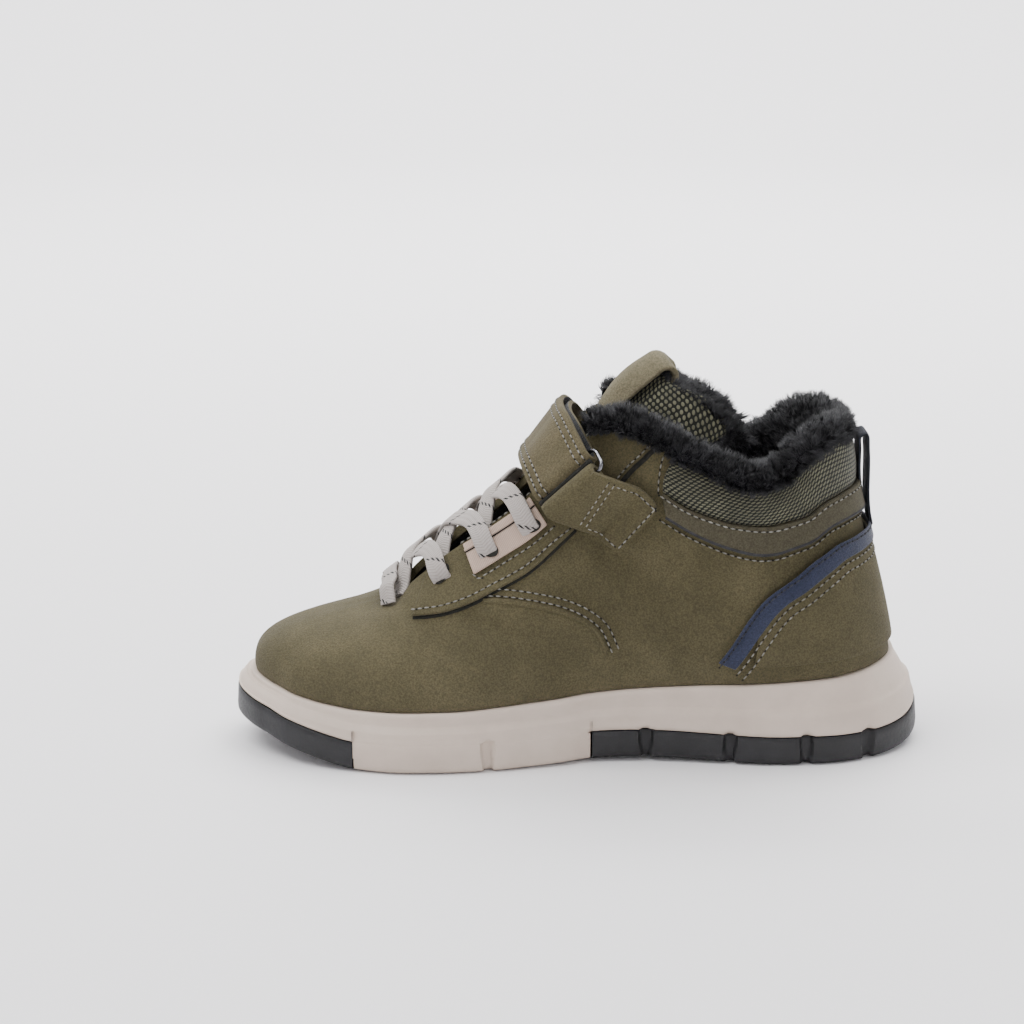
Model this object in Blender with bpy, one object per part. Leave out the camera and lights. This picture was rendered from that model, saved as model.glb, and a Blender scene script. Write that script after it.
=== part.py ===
"""Fur-lined ankle boot, right shoe, modelled as a maker's assembly of separate pieces.

Metres, +Z up. The toe points to -X and the heel to +X. The medial side faces -Y and the
lateral side +Y. The sole stands on z = 0.
"""
import math

import bmesh
import bpy
import numpy as np

MM = 0.001

# Driving sizes
SOLE_LENGTH = 0.226
BALL_WIDTH = 0.089
SOLE_STACK = 0.030
TOE_SPRING = 0.0095
UPPER_RISE = 0.080
UPPER_WALL = 0.0025
HEEL_FLARE = 0.0095
TREAD_BASE = 0.0040
TREAD_WRAP = 0.0090
TREAD_LIP = 0.0023
TREAD_BEVEL = 0.0020
GROOVE_WIDTH = 0.0026
GROOVE_DEPTH = 0.0026
FORE_DEPTH = 0.0050
NOTCH_DEEP = 0.0018
NOTCH_RISE = 0.0040
INSOLE_THICK = 0.0030
INSOLE_INSET = 0.0024
INSOLE_BEVEL = 0.0006
OVERLAY_THICK = 0.0012
BAND_THICK = 0.0016
FUR_ROLL = 0.0105
FUR_LOCK = 0.0026
TONGUE_THICK = 0.0060
TONGUE_WIDTH = 0.044
TAB_THICK = 0.0022
TONGUE_FUR = 0.0045
PLATE_THICK = 0.0008
STRAP_WIDTH = 0.0230
STRAP_THICK = 0.0022
STRAP_EASE = 0.0018
ANCHOR_WIDTH = 0.0215
ANCHOR_EASE = 0.0008
RING_WIRE = 0.0026
LACE_WIDTH = 0.0072
LACE_THICK = 0.0014
LACE_CREST = 0.0012
LACE_EASE = 0.0015
LOOP_WIDTH = 0.0120
LOOP_THICK = 0.0020
LOOP_BULGE = 0.0008

# Reach of the cutters under and over the tread
CUT_LOW = -0.010
CUT_HIGH = 0.060

# Seat between two pieces that touch
GAP = 0.0003
# Seat of an overlay on the curved upper
OVERLAY_GAP = 0.00045

HALF = BALL_WIDTH / 2
STEPS = 2

# Height of the lace's lower face over the throat's edge
LACE_DIP = OVERLAY_GAP + OVERLAY_THICK + PLATE_THICK + LACE_EASE

# Distance between the strap's layers where they go round the ring, and between the ring's bars
STRAP_LAYER = RING_WIRE + STRAP_THICK + 2 * GAP
RING_REACH = STRAP_LAYER + STRAP_THICK + 2 * GAP

# A row for each station from toe tip to heel back. Along is a share of SOLE_LENGTH from the
# toe, out a share of half the BALL_WIDTH, lift a share of TOE_SPRING, top a share of
# SOLE_STACK and flare a share of HEEL_FLARE.
SOLE_COLUMNS = ("lat_along", "lat_out", "med_along", "med_out", "lift", "top", "flare")
SOLE_ROWS = (
    (0.0000, -0.060, 0.0000, 0.060, 1.00, 0.80, 0.62),
    (0.0040, 0.146, 0.0060, 0.279, 0.96, 0.79, 0.61),
    (0.0270, 0.344, 0.0270, 0.479, 0.86, 0.77, 0.58),
    (0.0530, 0.483, 0.0540, 0.622, 0.72, 0.74, 0.53),
    (0.0860, 0.607, 0.0800, 0.737, 0.53, 0.71, 0.47),
    (0.1260, 0.739, 0.1170, 0.845, 0.33, 0.68, 0.42),
    (0.1690, 0.840, 0.1500, 0.910, 0.16, 0.66, 0.38),
    (0.2150, 0.908, 0.1790, 0.955, 0.05, 0.645, 0.35),
    (0.2610, 0.957, 0.2350, 1.016, 0.00, 0.64, 0.33),
    (0.3050, 0.980, 0.2880, 1.022, 0.00, 0.645, 0.32),
    (0.3520, 0.987, 0.3360, 1.002, 0.00, 0.65, 0.32),
    (0.3980, 0.969, 0.3850, 0.953, 0.00, 0.67, 0.32),
    (0.4450, 0.939, 0.4290, 0.894, 0.02, 0.69, 0.32),
    (0.4910, 0.881, 0.4730, 0.827, 0.05, 0.71, 0.30),
    (0.5410, 0.820, 0.5160, 0.751, 0.09, 0.74, 0.28),
    (0.5840, 0.780, 0.5660, 0.733, 0.12, 0.775, 0.28),
    (0.6310, 0.762, 0.6190, 0.742, 0.11, 0.805, 0.29),
    (0.6770, 0.762, 0.6730, 0.773, 0.07, 0.835, 0.30),
    (0.7260, 0.769, 0.7260, 0.816, 0.03, 0.86, 0.32),
    (0.7740, 0.766, 0.7740, 0.834, 0.00, 0.88, 0.34),
    (0.8230, 0.764, 0.8230, 0.820, 0.00, 0.90, 0.38),
    (0.8690, 0.742, 0.8690, 0.782, 0.00, 0.92, 0.45),
    (0.9080, 0.692, 0.9080, 0.697, 0.00, 0.94, 0.56),
    (0.9390, 0.620, 0.9390, 0.596, 0.02, 0.96, 0.68),
    (0.9650, 0.528, 0.9650, 0.472, 0.08, 0.98, 0.80),
    (0.9840, 0.400, 0.9840, 0.333, 0.18, 0.99, 0.90),
    (0.9955, 0.238, 0.9955, 0.166, 0.32, 1.00, 0.97),
    (1.0000, 0.034, 1.0000, -0.034, 0.40, 1.00, 1.00),
)

# The upper's top line for the same stations: along and out as above, rise above the heel's
# sole top as a share of UPPER_RISE. Then the handles of the wall's curve, as shares of
# UPPER_RISE: up and bulge from the sole, reach and drop from the top line.
TOP_COLUMNS = ("along", "out", "rise", "up", "bulge", "reach", "drop")
TOP_ROWS = (
    (0.2257, 0.000, 0.212, 0.19, 0.044, 0.250, 0.075),
    (0.2261, 0.036, 0.214, 0.19, 0.044, 0.250, 0.075),
    (0.2270, 0.067, 0.215, 0.19, 0.044, 0.240, 0.075),
    (0.2288, 0.097, 0.219, 0.19, 0.044, 0.225, 0.075),
    (0.2319, 0.126, 0.226, 0.19, 0.040, 0.206, 0.075),
    (0.2367, 0.157, 0.239, 0.19, 0.038, 0.188, 0.075),
    (0.2442, 0.187, 0.259, 0.19, 0.038, 0.169, 0.075),
    (0.2549, 0.213, 0.288, 0.19, 0.038, 0.156, 0.080),
    (0.2721, 0.238, 0.333, 0.19, 0.035, 0.150, 0.088),
    (0.2965, 0.261, 0.391, 0.195, 0.032, 0.144, 0.100),
    (0.3252, 0.279, 0.455, 0.206, 0.030, 0.144, 0.120),
    (0.3562, 0.294, 0.518, 0.219, 0.025, 0.144, 0.138),
    (0.3872, 0.310, 0.583, 0.238, 0.019, 0.144, 0.156),
    (0.4181, 0.328, 0.655, 0.263, 0.012, 0.144, 0.175),
    (0.4491, 0.355, 0.744, 0.288, 0.006, 0.138, 0.194),
    (0.4779, 0.391, 0.838, 0.300, 0.000, 0.131, 0.212),
    (0.5066, 0.440, 0.925, 0.312, 0.000, 0.119, 0.231),
    (0.5398, 0.508, 0.965, 0.325, 0.000, 0.100, 0.250),
    (0.5841, 0.584, 0.940, 0.325, 0.000, 0.081, 0.250),
    (0.6372, 0.652, 0.862, 0.325, 0.000, 0.062, 0.250),
    (0.6903, 0.680, 0.790, 0.312, 0.000, 0.050, 0.250),
    (0.7434, 0.675, 0.750, 0.300, 0.000, 0.044, 0.250),
    (0.7920, 0.640, 0.785, 0.300, -0.006, 0.038, 0.250),
    (0.8319, 0.562, 0.888, 0.300, -0.019, 0.031, 0.275),
    (0.8650, 0.450, 0.935, 0.300, -0.031, 0.025, 0.300),
    (0.8894, 0.315, 0.944, 0.300, -0.042, 0.019, 0.300),
    (0.9027, 0.157, 0.940, 0.300, -0.049, 0.012, 0.300),
    (0.9071, 0.000, 0.935, 0.300, -0.050, 0.006, 0.300),
)
LAST_ROW = len(SOLE_ROWS) - 1

# Shift of the outline that centres its widest points
OUTLINE_SHIFT = (max(row[3] for row in SOLE_ROWS) - max(row[1] for row in SOLE_ROWS)) * HALF / 2
LOOP_ROWS = 2 * LAST_ROW

# Rows where the forefoot lugs meet the black pads
TOE_EDGE_ROW = 7
HEEL_EDGE_ROW = 14
# Row of the top line under the strap
STRAP_ROW = 16
# Distance of a pad's end from its row, in rows
EDGE_SHIFT = 0.03

# Panel edges on the side of the upper: along from the toe and height above the heel's sole
# top, low edge then high edge, from front to back
BAND_ROWS = (
    (0.619, 0.636, 0.613, 0.730),
    (0.651, 0.584, 0.640, 0.682),
    (0.693, 0.531, 0.676, 0.640),
    (0.729, 0.499, 0.720, 0.606),
    (0.751, 0.489, 0.752, 0.598),
    (0.791, 0.506, 0.789, 0.612),
    (0.826, 0.539, 0.822, 0.640),
    (0.860, 0.589, 0.853, 0.685),
)
BAND_BACK = (0.600, 0.710)
COUNTER_ROWS = (
    (0.745, 0.030, 0.745, 0.250),
    (0.790, 0.030, 0.772, 0.330),
    (0.830, 0.040, 0.810, 0.410),
    (0.870, 0.045, 0.848, 0.490),
    (0.905, 0.050, 0.880, 0.540),
)
COUNTER_BACK = (0.060, 0.575)
EYESTAY_ROWS = (
    (0.262, 0.210, 0.285, 0.352),
    (0.300, 0.225, 0.312, 0.415),
    (0.340, 0.262, 0.345, 0.480),
    (0.380, 0.318, 0.378, 0.546),
    (0.420, 0.380, 0.408, 0.612),
    (0.455, 0.460, 0.436, 0.690),
    (0.492, 0.562, 0.474, 0.690),
)
PLATE_ROWS = (
    (0.352, 0.415, 0.345, 0.468),
    (0.385, 0.475, 0.375, 0.530),
    (0.415, 0.535, 0.402, 0.590),
    (0.442, 0.605, 0.428, 0.658),
)
SIDE_PANEL_ROWS = (
    (0.470, 0.040, 0.520, 0.300),
    (0.530, 0.040, 0.575, 0.310),
    (0.590, 0.040, 0.625, 0.300),
    (0.650, 0.040, 0.675, 0.270),
    (0.715, 0.040, 0.720, 0.235),
)

# Tongue stations from the vamp to the top: along, height of its outer face, half width as a
# share of TONGUE_WIDTH, and how far its edges fall back, as a share of UPPER_RISE
TONGUE_ROWS = (
    (0.222, 0.150, 0.24, 0.030),
    (0.262, 0.258, 0.30, 0.050),
    (0.302, 0.352, 0.34, 0.062),
    (0.342, 0.438, 0.36, 0.075),
    (0.386, 0.532, 0.37, 0.090),
    (0.426, 0.630, 0.37, 0.100),
    (0.466, 0.742, 0.35, 0.105),
    (0.505, 0.868, 0.33, 0.110),
    (0.538, 0.985, 0.36, 0.130),
    (0.572, 1.095, 0.41, 0.165),
    (0.606, 1.185, 0.41, 0.180),
)
# First rows of the tongue's fur lining and of its tab
TONGUE_FUR_ROW = 6
TAB_ROW = 8
TONGUE_SHARES = np.linspace(-1, 1, 11)
TAB_REACH = 0.6

# Strap centre over the instep from the medial ring: along, out and rise, as shares of
# SOLE_LENGTH, half the BALL_WIDTH and UPPER_RISE. The ring and the rows behind it lie on the
# wall, so they have along and rise alone.
STRAP_RING = (0.492, 0.770)
STRAP_TOP = (
    (0.465, -0.340, 0.866),
    (0.457, -0.120, 0.885),
    (0.457, 0.120, 0.885),
    (0.465, 0.340, 0.866),
)
STRAP_SIDE = (
    (0.492, 0.770),
    (0.520, 0.690),
    (0.556, 0.600),
    (0.596, 0.500),
)
# Slope of the strap over the instep, in radians, and how it rounds to the sides
STRAP_TILT = 0.93
STRAP_ROUND = 1.6
ANCHOR_SIDE = (
    (0.556, 0.650),
    (0.584, 0.580),
)

# Lace holes and the lowest bar, measured up the throat from its front, as shares of
# SOLE_LENGTH. A run of lace ends past its hole or under the eyestay, at these shares of the
# throat's half width.
LACE_BAR = 0.022
LACE_HOLES = (0.028, 0.103, 0.178, 0.247)
LACE_END = 1.12
LACE_TUCK = 0.90

# Heights of the pull loop's ends
LOOP_LOW = 0.520
LOOP_HIGH = 0.885

def material(name, color, roughness, metallic=0.0):
    """Plain finish of one piece."""
    finish = bpy.data.materials.new(name)
    finish.use_nodes = True
    shader = finish.node_tree.nodes["Principled BSDF"]
    shader.inputs["Base Color"].default_value = (*color, 1.0)
    shader.inputs["Roughness"].default_value = roughness
    shader.inputs["Metallic"].default_value = metallic
    return finish


def add_piece(name, points, faces, finish):
    """Make one named object from points and faces."""
    mesh = bpy.data.meshes.new(name)
    mesh.from_pydata([tuple(map(float, p)) for p in points], [], faces)
    mesh.validate()
    shape = bmesh.new()
    shape.from_mesh(mesh)
    bmesh.ops.recalc_face_normals(shape, faces=shape.faces)
    shape.to_mesh(mesh)
    shape.free()
    mesh.materials.append(finish)
    piece = bpy.data.objects.new(name, mesh)
    bpy.context.collection.objects.link(piece)
    return piece


def cyclic(rows, v):
    """Smooth closed curve through rows, read at v counted in rows."""
    rows = np.asarray(rows, float)
    count = len(rows)
    v = np.atleast_1d(np.asarray(v, float)) % count
    i = np.floor(v).astype(int)
    f = (v - i)[:, None]
    a, b, c, d = (rows[(i + k) % count] for k in (-1, 0, 1, 2))
    return 0.5 * (2 * b + (c - a) * f + (2 * a - 5 * b + 4 * c - d) * f ** 2
                  + (3 * b - a - 3 * c + d) * f ** 3)


def smooth_rows(rows, steps):
    """Open smooth curve through rows with steps points between two rows."""
    rows = np.asarray(rows, float)
    padded = np.vstack([2 * rows[0] - rows[1], rows, 2 * rows[-1] - rows[-2]])
    points = []
    for i in range(len(rows) - 1):
        a, b, c, d = padded[i:i + 4]
        for k in range(steps):
            f = k / steps
            points.append(0.5 * (2 * b + (c - a) * f + (2 * a - 5 * b + 4 * c - d) * f ** 2
                                 + (3 * b - a - 3 * c + d) * f ** 3))
    points.append(rows[-1])
    return np.array(points)


def unit(vectors):
    """Vectors scaled to length one."""
    vectors = np.asarray(vectors, float)
    return vectors / np.maximum(np.linalg.norm(vectors, axis=-1, keepdims=True), 1e-12)


def closed_rows(table, columns):
    """Rows of a half table run round the shoe: lateral out, medial back."""
    named = [dict(zip(columns, row)) for row in table]
    lateral = [(row, 1) for row in named]
    medial = [(row, -1) for row in named[-2:0:-1]]
    return lateral + medial


def outline_loop():
    """Sole outline, one point for each row round the shoe."""
    points = []
    for row, side in closed_rows(SOLE_ROWS, SOLE_COLUMNS):
        key = "lat" if side > 0 else "med"
        points.append((row[key + "_along"] * SOLE_LENGTH - SOLE_LENGTH / 2,
                       side * row[key + "_out"] * HALF + OUTLINE_SHIFT, 0.0))
    return np.array(points)


def column_loop(table, columns, key):
    """One column of a half table, run round the shoe."""
    return np.array([[row[key]] for row, _ in closed_rows(table, columns)])


OUTLINE = outline_loop()
LIFTS = column_loop(SOLE_ROWS, SOLE_COLUMNS, "lift") * TOE_SPRING
TOPS = column_loop(SOLE_ROWS, SOLE_COLUMNS, "top") * SOLE_STACK
FLARES = column_loop(SOLE_ROWS, SOLE_COLUMNS, "flare") * HEEL_FLARE


def outward(v):
    """Flat direction out of the sole outline at v."""
    ahead = cyclic(OUTLINE, np.asarray(v) + 0.02) - cyclic(OUTLINE, np.asarray(v) - 0.02)
    return unit(np.stack([-ahead[:, 1], ahead[:, 0], 0 * ahead[:, 0]], axis=1))


def sole_ring(v, inset, height):
    """Ring of the sole at v: inset from the outline, at the given heights."""
    points = cyclic(OUTLINE, v) - outward(v) * np.reshape(inset, (-1, 1))
    points[:, 2] = height
    return points


def feather_rows():
    """Line where the upper meets the sole, a point for each row."""
    v = np.arange(LOOP_ROWS)
    return sole_ring(v, FLARES[:, 0] + 0.5 * MM, TOPS[:, 0] + GAP)


def top_rows():
    """The upper's top line, a point for each row."""
    points = []
    for row, side in closed_rows(TOP_ROWS, TOP_COLUMNS):
        points.append((row["along"] * SOLE_LENGTH - SOLE_LENGTH / 2,
                       side * row["out"] * HALF,
                       SOLE_STACK + row["rise"] * UPPER_RISE))
    return np.array(points)


def wall_rows():
    """The four control points of the upper's wall, for each row round the shoe."""
    low = feather_rows()
    high = top_rows()
    side = outward(np.arange(LOOP_ROWS))
    columns = {key: column_loop(TOP_ROWS, TOP_COLUMNS, key) * UPPER_RISE
               for key in ("up", "bulge", "reach", "drop")}
    up = np.array([0.0, 0.0, 1.0])
    flat = unit((low - high) * np.array([1.0, 1.0, 0.0]))
    lean = unit(flat + side)
    return (low, low + up * columns["up"] + side * columns["bulge"],
            high + lean * columns["reach"] - up * columns["drop"], high)


WALL = wall_rows()


def upper_point(v, t):
    """Point of the upper's outer face at station v and height share t."""
    v, t = np.broadcast_arrays(np.asarray(v, float), np.asarray(t, float))
    shape = v.shape
    a, b, c, d = (cyclic(rows, v.ravel()) for rows in WALL)
    s = t.ravel()[:, None]
    points = (1 - s) ** 3 * a + 3 * (1 - s) ** 2 * s * b + 3 * (1 - s) * s ** 2 * c + s ** 3 * d
    return points.reshape(shape + (3,))


def upper_normal(v, t):
    """Direction out of the upper's outer face."""
    v, t = np.broadcast_arrays(np.asarray(v, float), np.asarray(t, float))
    along = upper_point(v + 0.05, t) - upper_point(v - 0.05, t)
    rise = upper_point(v, t + 0.01) - upper_point(v, t - 0.01)
    return unit(np.cross(rise, along))


def upper_offset(v, t, distance):
    """Point at a distance out of the upper's outer face."""
    return upper_point(v, t) + upper_normal(v, t) * distance


def locate(along, rise, side):
    """Station and height share of the upper's point seen at along and rise on one side."""
    x = along * SOLE_LENGTH - SOLE_LENGTH / 2
    z = SOLE_STACK + rise * UPPER_RISE
    v = np.linspace(2, LAST_ROW, 101)
    v = v if side > 0 else LOOP_ROWS - v
    t = np.linspace(0, 1, 41)
    best = None
    spread_v = v[1] - v[0]
    spread_t = t[1] - t[0]
    for _ in range(5):
        grid_v, grid_t = np.meshgrid(v, t, indexing="ij")
        points = upper_point(grid_v, grid_t)
        miss = (points[..., 0] - x) ** 2 + (points[..., 2] - z) ** 2
        i, j = np.unravel_index(np.argmin(miss), miss.shape)
        best = (v[i], t[j])
        v = np.linspace(best[0] - spread_v, best[0] + spread_v, 9)
        t = np.clip(np.linspace(best[1] - spread_t, best[1] + spread_t, 9), 0, 1)
        spread_v /= 3
        spread_t /= 3
    return best


def locate_back(rise):
    """Height share of the point at the heel's back line."""
    t = np.linspace(0, 1, 401)
    heights = upper_point(np.full(401, float(LAST_ROW)), t)[:, 2]
    return t[np.argmin(abs(heights - SOLE_STACK - rise * UPPER_RISE))]


def ring_faces(first, second, count):
    """Quads between two closed rings of count points."""
    return [(first + k, first + (k + 1) % count, second + (k + 1) % count, second + k)
            for k in range(count)]


def ladder_cap(start, count, pointed):
    """Fill a ring that runs out on one side and back on the other."""
    faces = []
    low = start
    high = start + count - 1
    if pointed:
        faces.append((low, low + 1, high))
        low += 1
    while high - low > 2:
        faces.append((low, low + 1, high - 1, high))
        low += 1
        high -= 1
    faces.append((low, low + 1, high))
    return faces


def stacked_solid(name, rings, finish, straight_end=False):
    """Closed solid through stacked rings, with a ladder of faces at each end.

    With a straight end the rings run from one corner of it round to the other.
    """
    count = len(rings[0])
    last = len(rings) - 1
    faces = []
    for k in range(last):
        walls = ring_faces(k * count, (k + 1) * count, count)
        faces += walls[:-1] if straight_end else walls
    if straight_end:
        near = [k * count for k in range(last + 1)]
        far = [k * count + count - 1 for k in range(last, -1, -1)]
        faces.append(tuple(near + far))
    faces += ladder_cap(0, count, not straight_end)
    faces += ladder_cap(last * count, count, not straight_end)
    return add_piece(name, np.vstack(rings), faces, finish)


def patch_solid(name, outer, inner, finish, closed=False):
    """Closed solid between two grids of the same rows and columns."""
    rows, cols = outer.shape[:2]
    half = rows * cols
    points = np.vstack([outer.reshape(-1, 3), inner.reshape(-1, 3)])
    faces = []
    spans = rows if closed else rows - 1
    for i in range(spans):
        n = (i + 1) % rows
        for j in range(cols - 1):
            a, b, c, d = i * cols + j, n * cols + j, n * cols + j + 1, i * cols + j + 1
            faces.append((a, b, c, d))
            faces.append((half + a, half + d, half + c, half + b))
        for j in (0, cols - 1):
            faces.append((i * cols + j, n * cols + j, half + n * cols + j, half + i * cols + j))
    if not closed:
        for i in (0, rows - 1):
            for j in range(cols - 1):
                a, b = i * cols + j, i * cols + j + 1
                faces.append((a, b, half + b, half + a))
    return add_piece(name, points, faces, finish)


def wire_prism(name, near, far, top):
    """Wire cutter between two lines on the ground, from under the sole up to a height."""
    points = []
    for p, q, z in zip(near, far, np.broadcast_to(top, len(near))):
        points += [(*p, CUT_LOW), (*q, CUT_LOW), (*q, z), (*p, z)]
    faces = [(3, 2, 1, 0)]
    last = 4 * (len(near) - 1)
    for start in range(0, last, 4):
        for j in range(4):
            a, b = start + j, start + (j + 1) % 4
            faces.append((a, b, b + 4, a + 4))
    faces.append((last, last + 1, last + 2, last + 3))
    piece = add_piece(name, points, faces, CUTTER_FINISH)
    piece.hide_render = True
    piece.display_type = "WIRE"
    return piece


def cutter(name, path, width, top):
    """Wire cutter along a path on the ground, up to a height over the floor."""
    path = np.asarray(path, float)
    ahead = unit(np.gradient(path, axis=0))
    side = np.stack([-ahead[:, 1], ahead[:, 0]], axis=1) * width / 2
    return wire_prism(name, path - side, path + side, top)


def cut(piece, tool):
    """Take a cutter away from a piece."""
    change = piece.modifiers.new(tool.name, "BOOLEAN")
    change.operation = "DIFFERENCE"
    change.object = tool
    return change


def tread_point(along, out):
    """Ground point by share of the sole's length and of half the ball width."""
    return (along * SOLE_LENGTH - SOLE_LENGTH / 2, out * HALF + OUTLINE_SHIFT)


def tread_grooves(piece, label, paths, width, depth):
    """Cut grooves along paths given in shares of the sole."""
    for k, path in enumerate(paths):
        points = [tread_point(*p) for p in path]
        lifts = [float(ground_lift(p[0])) for p in path]
        cut(piece, cutter(f"{label}_{k}", points, width, np.array(lifts) + depth))


def side_notches(piece, label, paths):
    """Notch the side where grooves run out."""
    k = 0
    for path in paths:
        for end, inner in ((path[0], path[1]), (path[-1], path[-2])):
            side = math.copysign(1.0, end[1])
            edge = outline_out(end[0], side)
            x = end[0] * SOLE_LENGTH - SOLE_LENGTH / 2
            line = [(x, side * (edge - NOTCH_DEEP)), (x, side * (edge + NOTCH_DEEP))]
            top = float(ground_lift(end[0])) + TREAD_WRAP + NOTCH_RISE
            cut(piece, cutter(f"{label}_notch_{k}", line, GROOVE_WIDTH, top))
            k += 1


def outline_out(along, side):
    """Half width of the sole at a share of the length, on one side."""
    x = along * SOLE_LENGTH - SOLE_LENGTH / 2
    rows = OUTLINE[:LAST_ROW + 1] if side > 0 else OUTLINE[LAST_ROW:][::-1]
    return float(np.interp(x, rows[:, 0], side * rows[:, 1]))


def ground_lift(along):
    """Height of the tread above the floor at a share of the length."""
    shares = [row[0] for row in SOLE_ROWS]
    lifts = [row[4] * TOE_SPRING for row in SOLE_ROWS]
    return np.interp(along, shares, lifts)


# Grooves across and along the sole, each a path of (along, out) in shares
CROSS_GROOVES = (
    ((0.615, 1.1), (0.613, 0.5), (0.600, 0.0), (0.596, -0.5), (0.590, -1.1)),
    ((0.735, 1.1), (0.733, 0.5), (0.726, 0.0), (0.718, -0.5), (0.706, -1.1)),
    ((0.846, 1.1), (0.842, 0.5), (0.834, 0.0), (0.826, -0.5), (0.816, -1.1)),
    ((0.936, 1.1), (0.926, 0.5), (0.918, 0.0), (0.914, -0.5), (0.908, -1.1)),
)
HEEL_LINE = ((0.614, -0.06), (0.667, 0.08), (0.726, 0.11), (0.820, 0.08), (0.866, -0.06),
             (0.930, -0.20), (1.01, -0.32))
FORE_CROSS = ((0.394, 1.1), (0.404, 0.70), (0.401, 0.35), (0.392, -0.10), (0.380, -0.60),
              (0.366, -1.1))
FORE_LONG = ((0.190, -0.18), (0.253, -0.32), (0.312, -0.37), (0.372, -0.36), (0.431, -0.27),
             (0.490, -0.20), (0.530, -0.16))
FORE_OUTER = ((0.205, 0.50), (0.390, 0.53), (0.405, 0.52), (0.490, 0.50), (0.545, 0.46))
FORE_MIDDLE = ((0.205, 0.10), (0.254, 0.02), (0.301, -0.05), (0.372, -0.06), (0.431, -0.01),
               (0.467, 0.02), (0.545, 0.12))
FORE_INNER = ((0.185, -0.66), (0.254, -0.69), (0.325, -0.72), (0.372, -0.72), (0.419, -0.66),
              (0.467, -0.60), (0.525, -0.50))
TOE_SPLIT = ((-0.02, 0.62), (0.040, 0.38), (0.112, 0.10), (0.190, -0.11), (0.215, -0.13))
TOE_OUTER_CUTS = (
    ((0.135, 1.0), (0.138, 0.60), (0.135, 0.10)),
)
TOE_INNER_CUTS = (
    ((0.030, 0.45), (0.100, -0.10), (0.148, -0.34), (0.200, -0.42)),
    ((0.094, -0.03), (0.085, -0.50), (0.080, -1.0)),
)
TOE_SPLIT_WIDTH = 0.0030


def zone_rings(v, black, sole_top):
    """Rings of the midsole, bottom to top, with the step where black pads sit."""
    lift = cyclic(LIFTS, v)[:, 0]
    top = cyclic(TOPS, v)[:, 0]
    flare = cyclic(FLARES, v)[:, 0]
    wrap = lift + TREAD_WRAP
    low_inset = np.where(black, TREAD_LIP, TREAD_BEVEL)
    low = np.where(black, lift + TREAD_BASE + GAP, lift)
    edge_inset = np.where(black, TREAD_LIP, 0.0)
    edge = np.where(black, wrap + GAP, lift + TREAD_BEVEL)
    lean = flare * 0.30
    step = flare * 0.42
    mid = wrap + (top - wrap) * 0.45
    return [
        sole_ring(v, low_inset, low),
        sole_ring(v, edge_inset, edge),
        sole_ring(v, np.where(black, flare * 0.10, flare * 0.04), wrap + GAP + 0.1 * MM),
        sole_ring(v, lean, mid),
        sole_ring(v, step + 0.5 * MM, mid + 1.0 * MM),
        sole_ring(v, flare - 0.9 * MM, top - sole_top),
        sole_ring(v, flare + 0.1 * MM, top),
    ]


def midsole():
    """Beige sole unit: forefoot lugs, side step, seats for the black pads."""
    toe = TOE_EDGE_ROW
    heel = HEEL_EDGE_ROW
    half = np.concatenate([
        np.linspace(0, toe - EDGE_SHIFT, toe * STEPS),
        np.linspace(toe, heel, (heel - toe) * STEPS + 1),
        np.linspace(heel + EDGE_SHIFT, LAST_ROW, (LAST_ROW - heel) * STEPS),
    ])
    v = np.concatenate([half, LOOP_ROWS - half[-2:0:-1]])
    row = np.minimum(v, LOOP_ROWS - v)
    black = (row < toe - EDGE_SHIFT / 2) | (row > heel + EDGE_SHIFT / 2)
    piece = stacked_solid("midsole", zone_rings(v, black, 1.2 * MM), BEIGE)
    tread_grooves(piece, "fore_cross", [FORE_CROSS], GROOVE_WIDTH, FORE_DEPTH)
    side_notches(piece, "midsole", (FORE_CROSS, *CROSS_GROOVES[:-1]))
    lines = (FORE_LONG, FORE_OUTER, FORE_MIDDLE, FORE_INNER)
    tread_grooves(piece, "fore_line", lines, GROOVE_WIDTH * 0.8, GROOVE_DEPTH)
    return piece


def pad_rings(v):
    """Rings of a black pad: tread, rounded edge, wrap, lip and cup floor."""
    lift = cyclic(LIFTS, v)[:, 0]
    flare = cyclic(FLARES, v)[:, 0]
    return [
        sole_ring(v, TREAD_BEVEL, lift),
        sole_ring(v, 0.0, lift + TREAD_BEVEL),
        sole_ring(v, flare * 0.06, lift + TREAD_WRAP),
        sole_ring(v, TREAD_LIP - GAP, lift + TREAD_WRAP),
        sole_ring(v, TREAD_LIP - GAP, lift + TREAD_BASE),
    ]


def heel_tread():
    """Black rubber pad under heel and waist with deep grooves that notch its side."""
    start = HEEL_EDGE_ROW + 2 * EDGE_SHIFT
    half = np.linspace(start, LAST_ROW, (LAST_ROW - HEEL_EDGE_ROW) * STEPS)
    v = np.concatenate([half, LOOP_ROWS - half[-2::-1]])
    piece = stacked_solid("heel_tread", pad_rings(v), BLACK, straight_end=True)
    tread_grooves(piece, "heel_cross", CROSS_GROOVES, GROOVE_WIDTH, GROOVE_DEPTH)
    tread_grooves(piece, "heel_line", [HEEL_LINE], GROOVE_WIDTH, GROOVE_DEPTH)
    side_notches(piece, "heel", CROSS_GROOVES[:-1])
    return piece


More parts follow.
